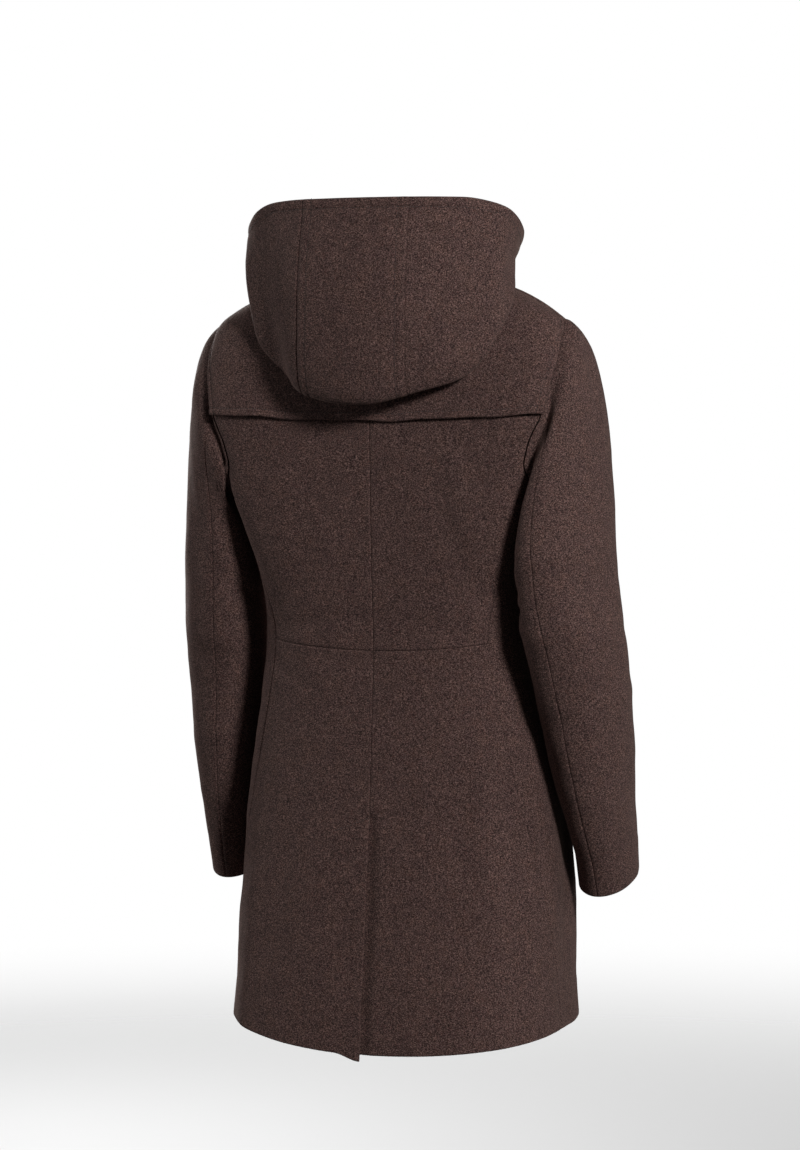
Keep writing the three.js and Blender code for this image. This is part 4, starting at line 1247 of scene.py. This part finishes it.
def loop(name, level):
    top = TOGGLE_HIGH + TOGGLE_WAIST + CORD_RADIUS + 0.7
    edge = PATCH_RIGHT[1]
    half = [(edge - CORD_UNDER, LOOP_RISE, CORD_LOW - 0.4), (edge + 1, LOOP_RISE, CORD_LOW),
            (-26, 9, CORD_LOW + 0.3), (-14, 11, 6.4), (-2, 11.8, 9.5), (TOGGLE_AT, 8.8, top - 4.2)]
    return braided(name, mirrored_route(half, (TOGGLE_AT, level, 0, top), level))


def toggle_cord(name, level):
    edge = PATCH_LEFT[0]
    half = [(edge + CORD_UNDER, CORD_RISE, CORD_LOW - 0.4), (edge - 1, CORD_RISE, CORD_LOW),
            (37, 6, CORD_LOW), (26, 6, CORD_LOW), (15, 4.5, CORD_LOW)]
    return braided(name, mirrored_route(half, (11, level, 0, CORD_LOW), level))


def toggle(name, level):
    """A turned wooden toggle with a waist for its cord."""
    end = TOGGLE_LENGTH / 2
    half = [(3, TOGGLE_WAIST)] + [(place, TOGGLE_RADIUS * share) for place, share in (
        (5.4, 0.93), (9, 1), (end - 9, 0.95), (end - 4, 0.84), (end - 1.4, 0.66), (end - 0.4, 0.42))]
    half.append((end, 0.3))
    profile = table("at radius", [(-place, radius) for place, radius in half[::-1]] + half)
    ends = [0, 0.1, 0.4, 0.9, 1.6, 2.6, 4]
    at = levels_between(-end, end, ends, ends, 0.9)
    radius = read(profile, "radius", at)
    angle = turns(TOGGLE_SIDES)[:, None]
    x = unit(on_front(TOGGLE_AT + 10, level, 0, 0) - on_front(TOGGLE_AT - 10, level, 0, 0))
    out = body_out(2 - TOGGLE_AT * per_front(level), np.float64(level))
    up = unit(np.cross(out, x))
    middle = on_front(TOGGLE_AT, level, 0, TOGGLE_HIGH) + at[:, None, None] * x
    return tube(name, middle + radius[:, None, None] * (up * np.cos(angle) + out * np.sin(angle)), WOOD)


# The coat
for side, hand in ((1, "left"), (-1, "right")):
    finish_piece(upper_back(side, hand), "upper_back_" + hand)
    finish_piece(sleeve_cloth(side, hand, "upper", BACK_SEAM_AT, 2 * HALF - FRONT_SEAM_AT),
                 "sleeve_upper_" + hand)
    finish_piece(sleeve_cloth(side, hand, "under", -FRONT_SEAM_AT, BACK_SEAM_AT),
                 "sleeve_under_" + hand)
made, thread = skirt_left()
finish_piece(thread)
finish_piece(made, "skirt_back_left")
finish_piece(skirt_right(), "skirt_back_right")
for side, hand, lies in ((1, "left", CLOTH + LAY_GAP), (-1, "right", 0)):
    made, thread = front(side, hand, lies)
    finish_piece(thread)
    finish_piece(made, "front_" + hand)
made, thread = yoke()
finish_piece(thread)
finish_piece(made, "yoke_back")
pieces, thread = hood()
finish_piece(thread)
for made, node, cut in pieces:
    finish_piece(made, node)
PATCHES = [
    ("right", PATCH_RIGHT, PATCH_RIGHT[1], LOOP_RISE),
    ("left", PATCH_LEFT, PATCH_LEFT[0], CORD_RISE),
]
for number, level in enumerate(CLOSURE_LEVELS, 1):
    for hand, span, edge, rise in PATCHES:
        name = f"patch_{hand}_{number}"
        made, thread = patch(name, level, span, edge, rise)
        finish_piece(made, name)
        finish_piece(thread)
    finish_piece(loop(f"braid_loop_{number}", level), f"loop_{number}")
    finish_piece(toggle_cord(f"braid_cord_{number}", level), f"toggle_cord_{number}")
    finish_piece(toggle(f"wood_toggle_{number}", level), f"toggle_{number}")


# Camera, lights and floor
def aimed(name, data, place, way):
    made = bpy.data.objects.new(name, data)
    bpy.context.scene.collection.objects.link(made)
    made.location = Vector(place)
    made.rotation_mode = "QUATERNION"
    made.rotation_quaternion = Vector(way).to_track_quat("-Z", "Y")
    return made


def camera():
    long_lens = VIEW_DISTANCE / VIEW_MM_A_PIXEL
    pitch = math.atan((PHOTO_MIDDLE[1] - HORIZON_ROW) / long_lens)
    aside = (AXIS_COLUMN - PHOTO_MIDDLE[0]) * VIEW_MM_A_PIXEL
    eye = TO_CAMERA * VIEW_DISTANCE - TO_RIGHT * aside + UP * EYE_HEIGHT
    data = bpy.data.cameras.new("camera")
    data.sensor_width = SENSOR
    data.lens = SENSOR * long_lens / PHOTO_HEIGHT
    way = -TO_CAMERA * math.cos(pitch) - UP * math.sin(pitch)
    bpy.context.scene.camera = aimed("camera", data, eye * MM, way)


AIM = np.array([0, 0, -0.38])


def soft_light(name, to_camera, to_right, up, size, power):
    """A round light in metres from the middle of the coat, which it points to."""
    data = bpy.data.lights.new(name, "AREA")
    data.shape = "DISK"
    data.size = size
    data.energy = power
    from_aim = TO_CAMERA * to_camera + TO_RIGHT * to_right + UP * up
    aimed(name, data, AIM + from_aim, -from_aim)


def camera_sees(nodes, links, others, camera_rays, surface):
    """Camera rays get one shader, and all other rays another."""
    path, both = nodes.new("ShaderNodeLightPath"), nodes.new("ShaderNodeMixShader")
    links.new(path.outputs["Is Camera Ray"], both.inputs["Fac"])
    links.new(others, both.inputs[1])
    links.new(camera_rays, both.inputs[2])
    links.new(both.outputs["Shader"], surface)


FLOOR = -1.42
FLOOR_CLEAR = 1.2
FLOOR_END = 4.5
FLOOR_SIDES = 96
GLOW = 0.045


def floor():
    """A pale disc that fades into the white around it."""
    angle = turns(FLOOR_SIDES)
    ring = np.stack([np.cos(angle), np.sin(angle), 0 * angle], -1) * FLOOR_END + UP * FLOOR
    look = Look("floor", 0.9, Base_Color=grey(0.92))
    length = look.add("VectorMath")
    length.operation = "LENGTH"
    look.join(length.inputs[0], look.stretched(look.space, (1, 1, 0)))
    fade = look.add("MapRange", From_Min=FLOOR_CLEAR, From_Max=FLOOR_END - 0.2, To_Min=1.0, To_Max=0.0,
                    Value=length.outputs["Value"])
    fade.interpolation_type = "SMOOTHSTEP"
    look.put(look.principled, Alpha=fade.outputs["Result"])
    dim = look.add("BsdfDiffuse", Color=grey(0.12))
    surface = look.nodes["Material Output"].inputs["Surface"]
    camera_sees(look.nodes, look.links, dim.outputs["BSDF"], look.principled.outputs["BSDF"], surface)
    new_object("floor", ring, [list(range(len(ring)))], look.material)


def world():
    """White where the camera sees it, and only a faint glow on the coat."""
    scene = bpy.context.scene
    scene.world = bpy.data.worlds.new("studio")
    scene.world.use_nodes = True
    nodes, links = scene.world.node_tree.nodes, scene.world.node_tree.links
    glow, seen = nodes["Background"], nodes.new("ShaderNodeBackground")
    for background, strength in ((glow, GLOW), (seen, 1.0)):
        background.inputs["Strength"].default_value = strength
        background.inputs["Color"].default_value = grey(1)
    surface = nodes["World Output"].inputs["Surface"]
    camera_sees(nodes, links, glow.outputs["Background"], seen.outputs["Background"], surface)
    scene.view_settings.view_transform = "Standard"


camera()
soft_light("key", 2.7, 1.5, 1.45, 0.7, 67)
soft_light("rim", -0.5, -2.6, 0.8, 1.6, 21)
soft_light("side", -0.2, 2.6, 0.6, 1.4, 10)
soft_light("front", -2.55, -1.0, 0.9, 1.5, 58)
floor()
world()
